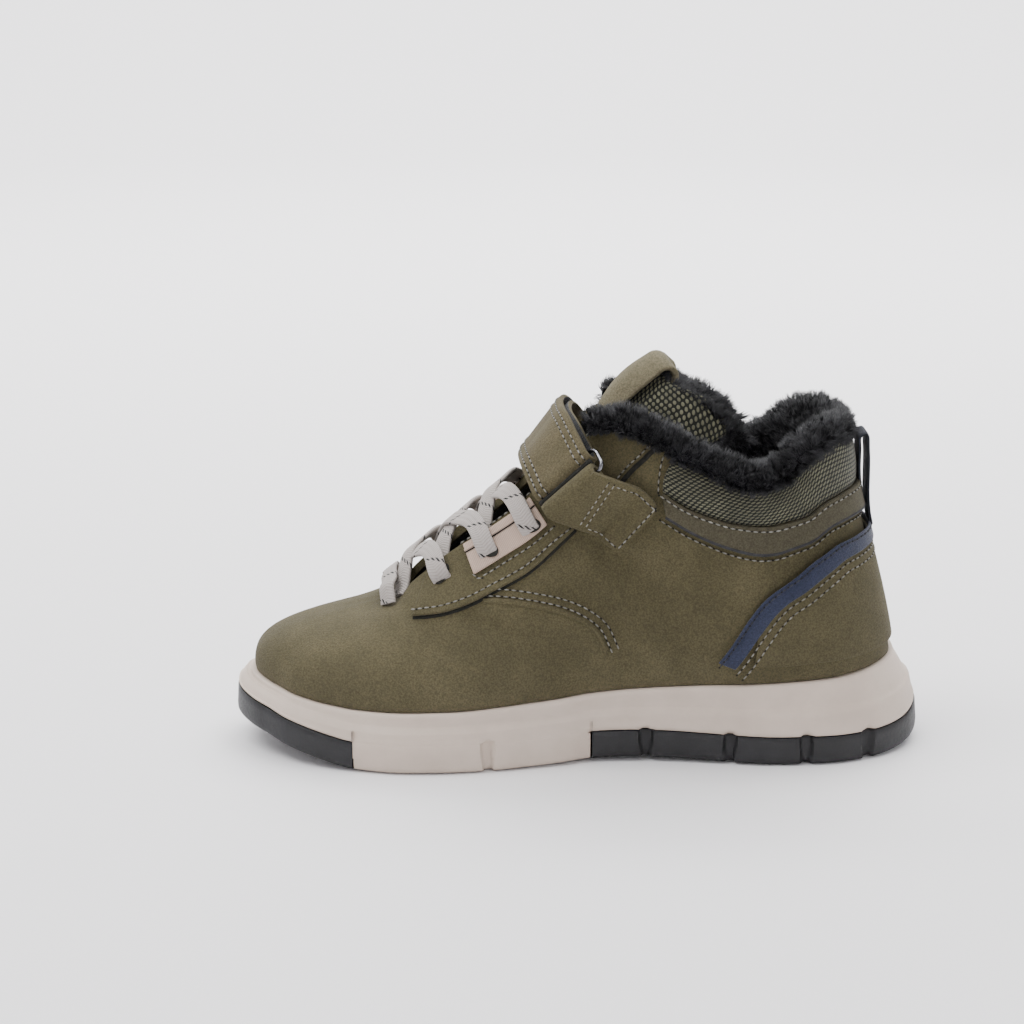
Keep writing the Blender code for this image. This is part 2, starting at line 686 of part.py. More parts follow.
def toe_tread(name, keep_lateral):
    """One of the two black pods round the toe, parted by a slanted line."""
    stop = TOE_EDGE_ROW - 2 * EDGE_SHIFT
    half = np.linspace(0, stop, TOE_EDGE_ROW * STEPS)
    v = np.concatenate([half[::-1], LOOP_ROWS - half[1:]])
    piece = stacked_solid(name, pad_rings(v), BLACK, straight_end=True)
    side = 1 if keep_lateral else -1
    path = np.array([tread_point(*p) for p in TOE_SPLIT])
    edge = path + np.array([0.0, side * TOE_SPLIT_WIDTH / 2])
    tool = wire_prism(name + "_part", edge, edge - np.array([0.0, side * BALL_WIDTH]), CUT_HIGH)
    cut(piece, tool)
    cuts = TOE_OUTER_CUTS if keep_lateral else TOE_INNER_CUTS
    tread_grooves(piece, name + "_groove", cuts, GROOVE_WIDTH * 0.7, GROOVE_DEPTH)
    return piece


def insole():
    """Footbed inside the upper, on the sole."""
    v = np.arange(LOOP_ROWS)
    inset = FLARES[:, 0] + UPPER_WALL + INSOLE_INSET
    top = TOPS[:, 0] + GAP
    rings = [sole_ring(v, inset, top), sole_ring(v, inset + INSOLE_BEVEL, top + INSOLE_THICK)]
    return stacked_solid("insole", rings, LINING)


WALL_SHARES = (0.0, 0.16, 0.36, 0.58, 0.80, 1.0)


def upper():
    """Hollow upper: one wall of real thickness, open at collar, throat and underneath."""
    half = np.linspace(0, LAST_ROW, LAST_ROW * STEPS + 1)
    v = np.concatenate([half, LOOP_ROWS - half[-2:0:-1]])
    grid_v, grid_t = np.meshgrid(v, WALL_SHARES, indexing="ij")
    outer = upper_point(grid_v, grid_t)
    inner = upper_offset(grid_v, grid_t, -UPPER_WALL)
    inner[:, 0] = outer[:, 0] - outward(v) * UPPER_WALL
    return patch_solid("upper", outer, inner, OLIVE, closed=True)


def band_columns(rows, side, steps):
    """Low and high edges of a panel as stations and height shares."""
    columns = []
    for low_along, low_rise, high_along, high_rise in smooth_rows(rows, steps):
        columns.append((*locate(low_along, low_rise, side), *locate(high_along, high_rise, side)))
    return columns


def panel(name, columns, across, gap, thick, finish):
    """Panel that lies on the upper between its low and high edges."""
    share = np.linspace(0, 1, across + 1)
    columns = np.array(columns)
    v = columns[:, [0]] * (1 - share) + columns[:, [2]] * share
    t = columns[:, [1]] * (1 - share) + columns[:, [3]] * share
    outer = upper_offset(v, t, gap + thick)
    inner = upper_offset(v, t, gap)
    return patch_solid(name, outer, inner, finish)


def side_panel(name, rows, side, across, gap, thick, finish):
    """Panel on one side of the upper."""
    return panel(name, band_columns(rows, side, STEPS), across, gap, thick, finish)


def wrap_panel(name, rows, back, across, gap, thick, finish):
    """Panel that runs from one side round the heel to the other."""
    lateral = band_columns(rows, 1, STEPS)
    medial = band_columns(rows, -1, STEPS)
    back_low, back_high = locate_back(back[0]), locate_back(back[1])
    middle = (LAST_ROW, back_low, LAST_ROW, back_high)
    columns = lateral
    for share in (0.25, 0.5, 0.75):
        columns = columns + [tuple(np.array(lateral[-1]) * (1 - share) + np.array(middle) * share)]
    columns = columns + [middle]
    for share in (0.75, 0.5, 0.25):
        columns = columns + [tuple(np.array(medial[-1]) * (1 - share) + np.array(middle) * share)]
    columns = columns + medial[::-1]
    return panel(name, columns, across, gap, thick, finish)


# Section of the fur roll: out of the wall and above its rim, as shares of FUR_ROLL
FUR_SECTION = (
    (0.06, 0.05), (0.06, -0.14), (0.26, -0.14), (0.40, 0.18), (0.26, 0.58), (-0.16, 0.76),
    (-0.58, 0.46), (-0.70, -0.36), (-0.33, -0.36), (-0.33, 0.05),
)
FUR_START = 16.3
FUR_FACES = (2, 3, 4, 5, 6)


def add_locks(piece, pick, length, lean):
    """Raise a pointed lock on each picked face."""
    shape = bmesh.new()
    shape.from_mesh(piece.data)
    shape.faces.ensure_lookup_table()
    chosen = [shape.faces[k] for k in pick]
    plan = []
    for k, face in enumerate(chosen):
        wave = 0.62 + 0.38 * math.sin(2.4 * k) * math.sin(0.37 * k + 1.0)
        sway = math.sin(1.7 * k)
        edge = (face.verts[1].co - face.verts[0].co).normalized()
        plan.append((face, face.normal * length * wave + edge * length * lean * sway))
    result = {}
    for face, move in plan:
        poked = bmesh.ops.poke(shape, faces=[face])
        result[poked["verts"][0]] = move
    for vert, move in result.items():
        vert.co += move
    shape.to_mesh(piece.data)
    shape.free()


def fur_collar():
    """Fur roll over the collar's rim, with locks raised on it."""
    start = FUR_START
    half = np.linspace(start, LAST_ROW, int((LAST_ROW - start) * 2))
    v = np.concatenate([half, LOOP_ROWS - half[-2::-1]])
    rim = upper_point(v, 1.0)
    out = upper_normal(v, 1.0)
    along = unit(np.gradient(rim, axis=0))
    up = unit(np.cross(along, out))
    up = up * np.sign(up[:, [2]])
    out = unit(out - along * np.sum(out * along, axis=1, keepdims=True))
    grid = np.array([[rim[i] + out[i] * a * FUR_ROLL + up[i] * b * FUR_ROLL
                      for a, b in FUR_SECTION] for i in range(len(v))])
    count = len(FUR_SECTION)
    points = grid.reshape(-1, 3)
    faces = []
    pick = []
    for i in range(len(v) - 1):
        for j in range(count):
            n = (j + 1) % count
            if j in FUR_FACES:
                pick.append(len(faces))
            faces.append((i * count + j, (i + 1) * count + j, (i + 1) * count + n, i * count + n))
    faces.append(tuple(range(count)))
    faces.append(tuple((len(v) - 1) * count + j for j in range(count))[::-1])
    piece = add_piece("fur_collar", points, faces, FUR)
    add_locks(piece, pick, FUR_LOCK, 0.35)
    return piece


def tongue_frame(rows):
    """Centre line of the tongue's face, the way ahead, the way out, half width and fall."""
    centre = np.stack([rows[:, 0] * SOLE_LENGTH - SOLE_LENGTH / 2, 0 * rows[:, 0],
                       SOLE_STACK + rows[:, 1] * UPPER_RISE], axis=1)
    ahead = unit(np.gradient(centre, axis=0))
    face = unit(np.stack([-ahead[:, 2], 0 * ahead[:, 0], ahead[:, 0]], axis=1))
    return centre, ahead, face, rows[:, 2] * TONGUE_WIDTH, rows[:, 3] * UPPER_RISE


def tongue_grid(start, depth, widen, reach=1.0):
    """Grid on the tongue from a row up, at a depth under its face, as wide as reach."""
    centre, _, face, width, fall = tongue_frame(smooth_rows(TONGUE_ROWS, STEPS))
    share = TONGUE_SHARES[abs(TONGUE_SHARES) < reach + 0.01]
    grid = centre[:, None, :] - face[:, None, :] * (fall[:, None] * share ** 2 + depth)[..., None]
    grid[..., 1] += width[:, None] * widen * share
    return grid[start * STEPS:]


def tongue():
    """Padded tongue under the laces and strap, up past the collar."""
    return patch_solid("tongue", tongue_grid(0, 0.0, 1.0), tongue_grid(0, TONGUE_THICK, 0.94),
                       OLIVE_DARK)


def tongue_fur():
    """Fur lining behind the tongue's upper half, with locks on its edges."""
    front = TONGUE_THICK + 2 * GAP
    outer = tongue_grid(TONGUE_FUR_ROW, front, 0.94)
    inner = tongue_grid(TONGUE_FUR_ROW, front + TONGUE_FUR, 0.86)
    piece = patch_solid("tongue_fur", outer, inner, FUR)
    cols = outer.shape[1]
    count = outer.shape[0] * cols
    pick = [face.index for face in piece.data.polygons
            if all(k % cols in (0, cols - 1) for k in face.vertices)
            or all(k % count >= count - cols for k in face.vertices)]
    add_locks(piece, pick, FUR_LOCK * 0.8, 0.35)
    return piece


def tongue_tab():
    """Tab on the tongue's front, folded over its top edge."""
    near = tongue_grid(TAB_ROW, -2 * GAP, 1.0, TAB_REACH)
    far = tongue_grid(TAB_ROW, -2 * GAP - TAB_THICK, 1.0, TAB_REACH)
    back = tongue_grid(TAB_ROW, TONGUE_THICK, 1.0, TAB_REACH)[-1]
    _, ahead, _, _, _ = tongue_frame(smooth_rows(TONGUE_ROWS, STEPS))
    low = ahead[-1] * GAP * 2
    high = low + ahead[-1] * TAB_THICK
    inner = np.vstack([near[:-1], [near[-1] + low], [back + low]])
    outer = np.vstack([far[:-1], [far[-1] + high], [back + high]])
    return patch_solid("tongue_tab", outer, inner, OLIVE)


def band_solid(name, centre, normal, width_way, width, thick, finish, across=2):
    """Flat band along a centre line with given ways out and across."""
    share = np.linspace(-0.5, 0.5, across + 1)
    middle = centre[:, None, :] + width_way[:, None, :] * (share * width)[None, :, None]
    lift = normal[:, None, :] * thick / 2
    return patch_solid(name, middle + lift, middle - lift, finish)


def wall_seat(along, rise, side, distance):
    """Point and way out at a distance off the upper's side."""
    v, t = locate(along, rise, side)
    return upper_offset(v, t, distance).reshape(3), upper_normal(v, t).reshape(3)


def strap_frames():
    """Strap's under layer, lateral end to medial ring: centre, ways along, out and across."""
    seat = OVERLAY_GAP + OVERLAY_THICK + GAP + STRAP_THICK / 2 + STRAP_EASE
    rows = [wall_seat(*row, 1, seat) for row in STRAP_SIDE[::-1]]
    for along, out, rise in STRAP_TOP[::-1]:
        point = np.array([along * SOLE_LENGTH - SOLE_LENGTH / 2, out * HALF,
                          SOLE_STACK + rise * UPPER_RISE])
        face = np.array([-math.sin(STRAP_TILT), STRAP_ROUND * out, math.cos(STRAP_TILT)])
        rows.append((point, face))
    rows.append(wall_seat(*STRAP_RING, -1, seat))
    path = smooth_rows(np.array([point for point, _ in rows]), STEPS)
    out = unit(smooth_rows(np.array([face for _, face in rows]), STEPS))
    along = unit(np.gradient(path, axis=0))
    across = unit(np.cross(out, along))
    return path, along, unit(np.cross(along, across)), across


def strap():
    """Strap over the instep: under layer to the ring, fold, and upper layer back over it."""
    path, along, out, across = strap_frames()
    count = len(path)
    layer = np.interp(np.arange(count), (0, count * 0.75, count - 1),
                      (STRAP_THICK + 2 * GAP, STRAP_THICK + 4 * GAP, STRAP_LAYER))
    over = path + out * layer[:, None]
    turn = np.linspace(0, math.pi, 6)[1:-1]
    middle = path[-1] + out[-1] * layer[-1] / 2
    fold = [middle + along[-1] * math.sin(a) * layer[-1] / 2 - out[-1] * math.cos(a) * layer[-1] / 2
            for a in turn]
    fold_out = [along[-1] * math.sin(a) - out[-1] * math.cos(a) for a in turn]
    centre = np.vstack([path, fold, over[::-1]])
    normal = np.vstack([-out, fold_out, out[::-1]])
    ways = np.vstack([across, [across[-1]] * len(turn), across[::-1]])
    return band_solid("strap", centre, normal, ways, STRAP_WIDTH, STRAP_THICK, OLIVE)


def ring_seat():
    """Centre of the ring's first bar, the way along the strap, out, and along the bar."""
    path, along, out, across = strap_frames()
    return path[-1] + out[-1] * STRAP_LAYER / 2, along[-1], out[-1], across[-1]


def strap_ring():
    """Long wire ring between the strap's fold and the anchor."""
    centre, along, out, across = ring_seat()
    half = STRAP_WIDTH / 2 + RING_WIRE
    corner = RING_WIRE * 0.9
    path = []
    for a, b, turn in ((-1, -1, math.pi), (1, -1, 1.5 * math.pi), (1, 1, 0), (-1, 1, 0.5 * math.pi)):
        base = (a * (half - corner), (b + 1) / 2 * RING_REACH - b * corner)
        for k in range(3):
            angle = turn + k * math.pi / 4
            path.append((base[0] + math.cos(angle) * corner, base[1] + math.sin(angle) * corner))
    path = np.array([centre + across * x + along * y for x, y in path])
    ahead = unit(np.roll(path, -1, axis=0) - np.roll(path, 1, axis=0))
    side = np.cross(ahead, out)
    sides = 6
    points = []
    for p, s in zip(path, side):
        for k in range(sides):
            angle = 2 * math.pi * k / sides
            points.append(p + (s * math.cos(angle) + out * math.sin(angle)) * RING_WIRE / 2)
    faces = []
    count = len(path)
    for i in range(count):
        n = (i + 1) % count
        for k in range(sides):
            m = (k + 1) % sides
            faces.append((i * sides + k, n * sides + k, n * sides + m, i * sides + m))
    return add_piece("strap_ring", points, faces, STEEL)


def strap_anchor():
    """Anchor of the ring: a hook round its second bar, then a flat end sewn to the wall."""
    centre, along, out, across = ring_seat()
    bar = centre + along * RING_REACH
    radius = RING_WIRE / 2 + GAP + STRAP_THICK / 2
    hook = [bar - along * math.cos(a) * radius - out * math.sin(a) * radius
            for a in np.linspace(1.7, 0.0, 4)]
    hook += [bar - along * math.cos(a) * radius + out * math.sin(a) * radius
             for a in np.linspace(0.55, 2.5, 4)]
    hook_out = [unit(point - bar) for point in hook]
    seat = OVERLAY_GAP + OVERLAY_THICK + GAP + STRAP_THICK / 2 + ANCHOR_EASE
    flat = [wall_seat(*row, -1, seat) for row in ANCHOR_SIDE]
    points = np.array(hook + [p for p, _ in flat])
    outs = np.array(hook_out + [n for _, n in flat])
    ahead = unit(np.gradient(points, axis=0))
    ways = unit(across - ahead * (ahead @ across)[:, None])
    ways[:len(hook)] = across
    outs = unit(outs - ways * np.sum(outs * ways, axis=1, keepdims=True))
    return band_solid("strap_anchor", points, outs, ways, ANCHOR_WIDTH, STRAP_THICK, OLIVE)


def throat_row(run):
    """Row of the upper at a distance up the throat from its front."""
    rows = np.arange(0, STRAP_ROW + 0.25, 0.25)
    middle = cyclic(WALL[3], rows) * np.array([1.0, 0.0, 1.0])
    steps = np.linalg.norm(np.diff(middle, axis=0), axis=1)
    return float(np.interp(run, np.concatenate([[0.0], np.cumsum(steps)]), rows))


def lace_point(run, out, lift):
    """Point of the lace's sheet over the throat: run up the throat, side share, extra lift.

    Past a side share of one the sheet lies on the wall.
    """
    seat = LACE_DIP + LACE_THICK / 2
    row = throat_row(run)
    v = row if out > 0 else LOOP_ROWS - row
    if abs(out) > 1:
        return upper_offset(v, 2 - abs(out), seat + lift).reshape(3)
    rim = cyclic(WALL[3], v)[0]
    ahead = cyclic(WALL[3], row + 0.1)[0] - cyclic(WALL[3], row - 0.1)[0]
    face = unit(np.array([-ahead[2], 0.0, ahead[0]]))
    height = seat + LACE_CREST * (1 - out ** 2) + lift
    return np.array([rim[0], rim[1] * abs(out), rim[2]]) + face * height


def lace_solid(name, places, faces):
    """Flat lace of real thickness through places on the lace's sheet."""
    half = LACE_THICK / 2
    count = len(places)
    points = [lace_point(run, out, lift + half) for run, out, lift in places]
    points += [lace_point(run, out, lift - half) for run, out, lift in places]
    solid = list(faces) + [tuple(k + count for k in face[::-1]) for face in faces]
    edges = [(face[k], face[(k + 1) % len(face)]) for face in faces for k in range(len(face))]
    for a, b in edges:
        if (b, a) not in edges:
            solid.append((b, a, a + count, b + count))
    return add_piece(name, points, solid, LACE)


def lace_bar():
    """Straight run of lace at the bottom pair of holes."""
    run = LACE_BAR * SOLE_LENGTH
    outs = (-LACE_END, -1.0, -0.5, 0.0, 0.5, 1.0, LACE_END)
    places = [(run + side * LACE_WIDTH / 2, out, 0.0) for out in outs for side in (-1, 1)]
    faces = [(2 * k, 2 * k + 2, 2 * k + 3, 2 * k + 1) for k in range(len(outs) - 1)]
    return lace_solid("lace_bar", places, faces)


def lace_cross(index):
    """Crossing of two runs: upper ends at their holes, lower ends under the eyestays."""
    low, high = (share * SOLE_LENGTH for share in LACE_HOLES[index - 1:index + 1])
    middle = (low + high) / 2
    reach = float(cyclic(WALL[3], throat_row(middle))[0, 1])
    slope = math.atan2(high - low, 2 * reach)
    tall = LACE_WIDTH / 2 / math.cos(slope)
    wide = LACE_WIDTH / 2 / math.sin(slope) / reach
    places = [(middle, wide, 0.0), (middle + tall, 0.0, 0.0), (middle, -wide, 0.0),
              (middle - tall, 0.0, -LACE_THICK)]
    faces = [(0, 1, 2, 3)]
    halfway = (wide + 1) / 2
    upper_arm = [((middle + high) / 2, halfway, 0.0), (high, 1.0, 0.0), (high, LACE_END, 0.0)]
    lower_arm = [((middle + low) / 2, halfway, -LACE_DIP * 0.6), (low, LACE_TUCK, -LACE_DIP)]
    arms = (((0, 1), upper_arm, 1), ((3, 0), lower_arm, 1),
            ((2, 1), upper_arm, -1), ((3, 2), lower_arm, -1))
    for edge, stations, side in arms:
        for run, out, lift in stations:
            places += [(run - tall, out * side, lift), (run + tall, out * side, lift)]
            ahead = (len(places) - 2, len(places) - 1)
            face = (edge[0], ahead[0], ahead[1], edge[1])
            faces.append(face[::side])
            edge = ahead
    return lace_solid(f"lace_cross_{index}", places, faces)


def pull_loop():
    """Webbing loop that stands off the heel between the counter and the rim."""
    low = OVERLAY_GAP + OVERLAY_THICK + GAP + LOOP_THICK / 2
    high = GAP + LOOP_THICK / 2
    bulge = OVERLAY_GAP + BAND_THICK + GAP + LOOP_THICK / 2 + LOOP_BULGE
    heights = np.linspace(0, 1, 9)
    stand = np.sin(math.pi * heights) ** 0.7
    points = []
    for share, off in zip(heights, stand):
        t = locate_back(LOOP_LOW + (LOOP_HIGH - LOOP_LOW) * share)
        seat = low * (1 - share) + high * share
        points.append(upper_offset(LAST_ROW, t, seat + off * (bulge - seat)).reshape(3))
    points = np.array(points)
    ahead = unit(np.gradient(points, axis=0))
    ways = np.broadcast_to(np.array([0.0, 1.0, 0.0]), points.shape)
    outs = unit(np.cross(ways, ahead))
    return band_solid("pull_loop", points, outs, ways, LOOP_WIDTH, LOOP_THICK, BLACK)


def build():
    """Model every piece."""
    midsole()
    heel_tread()
    toe_tread("toe_tread_outer", True)
    toe_tread("toe_tread_inner", False)
    insole()
    upper()
    for label, side in (("lateral", 1), ("medial", -1)):
        side_panel("eyestay_" + label, EYESTAY_ROWS, side, 3, OVERLAY_GAP, OVERLAY_THICK, OLIVE)
        side_panel("lace_plate_" + label, PLATE_ROWS, side, 2,
                   2 * OVERLAY_GAP + OVERLAY_THICK, PLATE_THICK, BEIGE)
    side_panel("quarter_panel", SIDE_PANEL_ROWS, 1, 3, OVERLAY_GAP, OVERLAY_THICK, BLACK)
    wrap_panel("collar_band", BAND_ROWS, BAND_BACK, 1, OVERLAY_GAP, BAND_THICK, OLIVE)
    wrap_panel("heel_counter", COUNTER_ROWS, COUNTER_BACK, 4, OVERLAY_GAP, OVERLAY_THICK, OLIVE)
    fur_collar()
    tongue()
    tongue_fur()
    tongue_tab()
    lace_bar()
    for index in range(1, len(LACE_HOLES)):
        lace_cross(index)
    strap()
    strap_ring()
    strap_anchor()
    pull_loop()


for old in list(bpy.data.objects):
    bpy.data.objects.remove(old)

OLIVE = material("olive_nubuck", (0.130, 0.120, 0.070), 0.8)
OLIVE_DARK = material("olive_mesh", (0.060, 0.062, 0.038), 0.85)
BEIGE = material("beige_rubber", (0.430, 0.340, 0.270), 0.7)
BLACK = material("black_rubber", (0.020, 0.021, 0.023), 0.6)
LINING = material("dark_lining", (0.030, 0.030, 0.030), 0.95)
FUR = material("black_fur", (0.012, 0.012, 0.012), 1.0)
LACE = material("grey_lace", (0.420, 0.400, 0.370), 0.9)
STEEL = material("ring_steel", (0.600, 0.600, 0.620), 0.3, 1.0)
CUTTER_FINISH = material("guide", (0.5, 0.5, 0.5), 0.5)

build()
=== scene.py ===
"""Looks of a child's fur-lined ankle boot, right shoe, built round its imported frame.

Metres, +Z up. The toe points to -X and the heel to +X, the medial side faces -Y.
"""

import logging
import math
from dataclasses import dataclass, field
from enum import Enum
from functools import cache, cached_property
from typing import Callable, Optional, Sequence

import bpy
import numpy as np
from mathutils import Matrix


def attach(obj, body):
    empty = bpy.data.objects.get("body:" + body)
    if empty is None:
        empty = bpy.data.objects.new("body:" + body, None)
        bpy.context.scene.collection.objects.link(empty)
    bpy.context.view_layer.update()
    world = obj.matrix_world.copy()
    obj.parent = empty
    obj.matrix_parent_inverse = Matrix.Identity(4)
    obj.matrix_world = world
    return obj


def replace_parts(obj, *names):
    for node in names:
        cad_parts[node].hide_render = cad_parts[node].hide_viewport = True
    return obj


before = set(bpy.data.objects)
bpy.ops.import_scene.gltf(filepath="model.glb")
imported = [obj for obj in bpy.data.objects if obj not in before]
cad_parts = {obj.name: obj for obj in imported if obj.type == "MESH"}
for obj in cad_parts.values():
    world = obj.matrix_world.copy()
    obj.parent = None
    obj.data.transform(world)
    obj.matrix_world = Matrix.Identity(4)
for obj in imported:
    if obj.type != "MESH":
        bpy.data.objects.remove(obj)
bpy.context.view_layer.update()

Array = np.ndarray
Piece = bpy.types.Object
Place = Callable[[Array, Array], Array]
Pairs = Sequence[tuple[float, float]]

MM = 0.001
SMOOTH_ANGLE = math.radians(50)
LOG = logging.getLogger("boot")


class Side(Enum):
    """Side of the shoe."""

    LATERAL = 1
    MEDIAL = -1


# A row for each station from toe tip to heel back, as shares of the last's sizes: lateral along
# and out, medial along and out, lift, top and flare.
SOLE_ROWS = np.array((
    (0.0000, -0.060, 0.0000, 0.060, 1.00, 0.80, 0.62),
    (0.0040, 0.146, 0.0060, 0.279, 0.96, 0.79, 0.61),
    (0.0270, 0.344, 0.0270, 0.479, 0.86, 0.77, 0.58),
    (0.0530, 0.483, 0.0540, 0.622, 0.72, 0.74, 0.53),
    (0.0860, 0.607, 0.0800, 0.737, 0.53, 0.71, 0.47),
    (0.1260, 0.739, 0.1170, 0.845, 0.33, 0.68, 0.42),
    (0.1690, 0.840, 0.1500, 0.910, 0.16, 0.66, 0.38),
    (0.2150, 0.908, 0.1790, 0.955, 0.05, 0.645, 0.35),
    (0.2610, 0.957, 0.2350, 1.016, 0.00, 0.64, 0.33),
    (0.3050, 0.980, 0.2880, 1.022, 0.00, 0.645, 0.32),
    (0.3520, 0.987, 0.3360, 1.002, 0.00, 0.65, 0.32),
    (0.3980, 0.969, 0.3850, 0.953, 0.00, 0.67, 0.32),
    (0.4450, 0.939, 0.4290, 0.894, 0.02, 0.69, 0.32),
    (0.4910, 0.881, 0.4730, 0.827, 0.05, 0.71, 0.30),
    (0.5410, 0.820, 0.5160, 0.751, 0.09, 0.74, 0.28),
    (0.5840, 0.780, 0.5660, 0.733, 0.12, 0.775, 0.28),
    (0.6310, 0.762, 0.6190, 0.742, 0.11, 0.805, 0.29),
    (0.6770, 0.762, 0.6730, 0.773, 0.07, 0.835, 0.30),
    (0.7260, 0.769, 0.7260, 0.816, 0.03, 0.86, 0.32),
    (0.7740, 0.766, 0.7740, 0.834, 0.00, 0.88, 0.34),
    (0.8230, 0.764, 0.8230, 0.820, 0.00, 0.90, 0.38),
    (0.8690, 0.742, 0.8690, 0.782, 0.00, 0.92, 0.45),
    (0.9080, 0.692, 0.9080, 0.697, 0.00, 0.94, 0.56),
    (0.9390, 0.620, 0.9390, 0.596, 0.02, 0.96, 0.68),
    (0.9650, 0.528, 0.9650, 0.472, 0.08, 0.98, 0.80),
    (0.9840, 0.400, 0.9840, 0.333, 0.18, 0.99, 0.90),
    (0.9955, 0.238, 0.9955, 0.166, 0.32, 1.00, 0.97),
    (1.0000, 0.034, 1.0000, -0.034, 0.40, 1.00, 1.00),
))
# The top line for the same stations: along, out, rise, up, bulge, reach and drop.
TOP_ROWS = np.array((
    (0.2257, 0.000, 0.212, 0.19, 0.044, 0.250, 0.075),
    (0.2261, 0.036, 0.214, 0.19, 0.044, 0.250, 0.075),
    (0.2270, 0.067, 0.215, 0.19, 0.044, 0.240, 0.075),
    (0.2288, 0.097, 0.219, 0.19, 0.044, 0.225, 0.075),
    (0.2319, 0.126, 0.226, 0.19, 0.040, 0.206, 0.075),
    (0.2367, 0.157, 0.239, 0.19, 0.038, 0.188, 0.075),
    (0.2442, 0.187, 0.259, 0.19, 0.038, 0.169, 0.075),
    (0.2549, 0.213, 0.288, 0.19, 0.038, 0.156, 0.080),
    (0.2721, 0.238, 0.333, 0.19, 0.035, 0.150, 0.088),
    (0.2965, 0.261, 0.391, 0.195, 0.032, 0.144, 0.100),
    (0.3252, 0.279, 0.455, 0.206, 0.030, 0.144, 0.120),
    (0.3562, 0.294, 0.518, 0.219, 0.025, 0.144, 0.138),
    (0.3872, 0.310, 0.583, 0.238, 0.019, 0.144, 0.156),
    (0.4181, 0.328, 0.655, 0.263, 0.012, 0.144, 0.175),
    (0.4491, 0.355, 0.744, 0.288, 0.006, 0.138, 0.194),
    (0.4779, 0.391, 0.838, 0.300, 0.000, 0.131, 0.212),
    (0.5066, 0.440, 0.925, 0.312, 0.000, 0.119, 0.231),
    (0.5398, 0.508, 0.965, 0.325, 0.000, 0.100, 0.250),
    (0.5841, 0.584, 0.940, 0.325, 0.000, 0.081, 0.250),
    (0.6372, 0.652, 0.862, 0.325, 0.000, 0.062, 0.250),
    (0.6903, 0.680, 0.790, 0.312, 0.000, 0.050, 0.250),
    (0.7434, 0.675, 0.750, 0.300, 0.000, 0.044, 0.250),
    (0.7920, 0.640, 0.785, 0.300, -0.006, 0.038, 0.250),
    (0.8319, 0.562, 0.888, 0.300, -0.019, 0.031, 0.275),
    (0.8650, 0.450, 0.935, 0.300, -0.031, 0.025, 0.300),
    (0.8894, 0.315, 0.944, 0.300, -0.042, 0.019, 0.300),
    (0.9027, 0.157, 0.940, 0.300, -0.049, 0.012, 0.300),
    (0.9071, 0.000, 0.935, 0.300, -0.050, 0.006, 0.300),
))
LAST_ROW = len(SOLE_ROWS) - 1
LOOP_ROWS = 2 * LAST_ROW
TOE_EDGE_ROW = 7
HEEL_EDGE_ROW = 14


def spline(a: Array, b: Array, c: Array, d: Array, f: Array) -> Array:
    """Smooth curve between b and c.

    Args:
        a, b, c, d: Four rows in order.
        f: Share of the way from b to c.

    Returns:
        The points at f.
    """
    return 0.5 * (2 * b + (c - a) * f + (2 * a - 5 * b + 4 * c - d) * f ** 2
                  + (3 * b - a - 3 * c + d) * f ** 3)


def cyclic(rows: Array, v: Array) -> Array:
    """Read a smooth closed curve through rows.

    Args:
        rows: Rows in order round the loop.
        v: Place on the loop, counted in rows.

    Returns:
        One point for each v.
    """
    count = len(rows)
    v = np.atleast_1d(np.asarray(v, float)) % count
    i = np.floor(v).astype(int) % count
    f = (v - np.floor(v))[:, None]
    return spline(*(rows[(i + k) % count] for k in (-1, 0, 1, 2)), f)


def along_rows(rows: Sequence, share: Array) -> Array:
    """Read a smooth open curve through rows.

    Args:
        rows: Rows in order from one end to the other.
        share: Place on the curve from 0 to 1.

    Returns:
        One point for each share.
    """
    rows = np.asarray(rows, float)
    spans = len(rows) - 1
    x = np.clip(np.atleast_1d(share), 0, 1) * spans
    i = np.minimum(np.floor(x).astype(int), spans - 1)
    padded = np.vstack([2 * rows[0] - rows[1], rows, 2 * rows[-1] - rows[-2]])
    return spline(*(padded[i + k] for k in range(4)), (x - i)[:, None])


def run_of(points: Array) -> Array:
    """Distance along a line at each of its points."""
    return np.concatenate([[0.0], np.cumsum(np.linalg.norm(np.diff(points, axis=0), axis=1))])


def read_at(at: Array, run: Array, rows: Array) -> Array:
    """Rows of a line at distances along it."""
    return np.column_stack([np.interp(at, run, rows[:, k]) for k in range(rows.shape[1])])


def flatten(wave: Array, power: float) -> Array:
    """Power of a wave that keeps its sign, for sections flatter than an ellipse."""
    return np.sign(wave) * abs(wave) ** power


def unit(vectors: Array) -> Array:
    """Vectors scaled to length one."""
    return vectors / np.maximum(np.linalg.norm(vectors, axis=-1, keepdims=True), 1e-12)


def ease(x: Array) -> Array:
    """Smooth step from 0 to 1."""
    x = np.clip(x, 0, 1)
    return x * x * (3 - 2 * x)


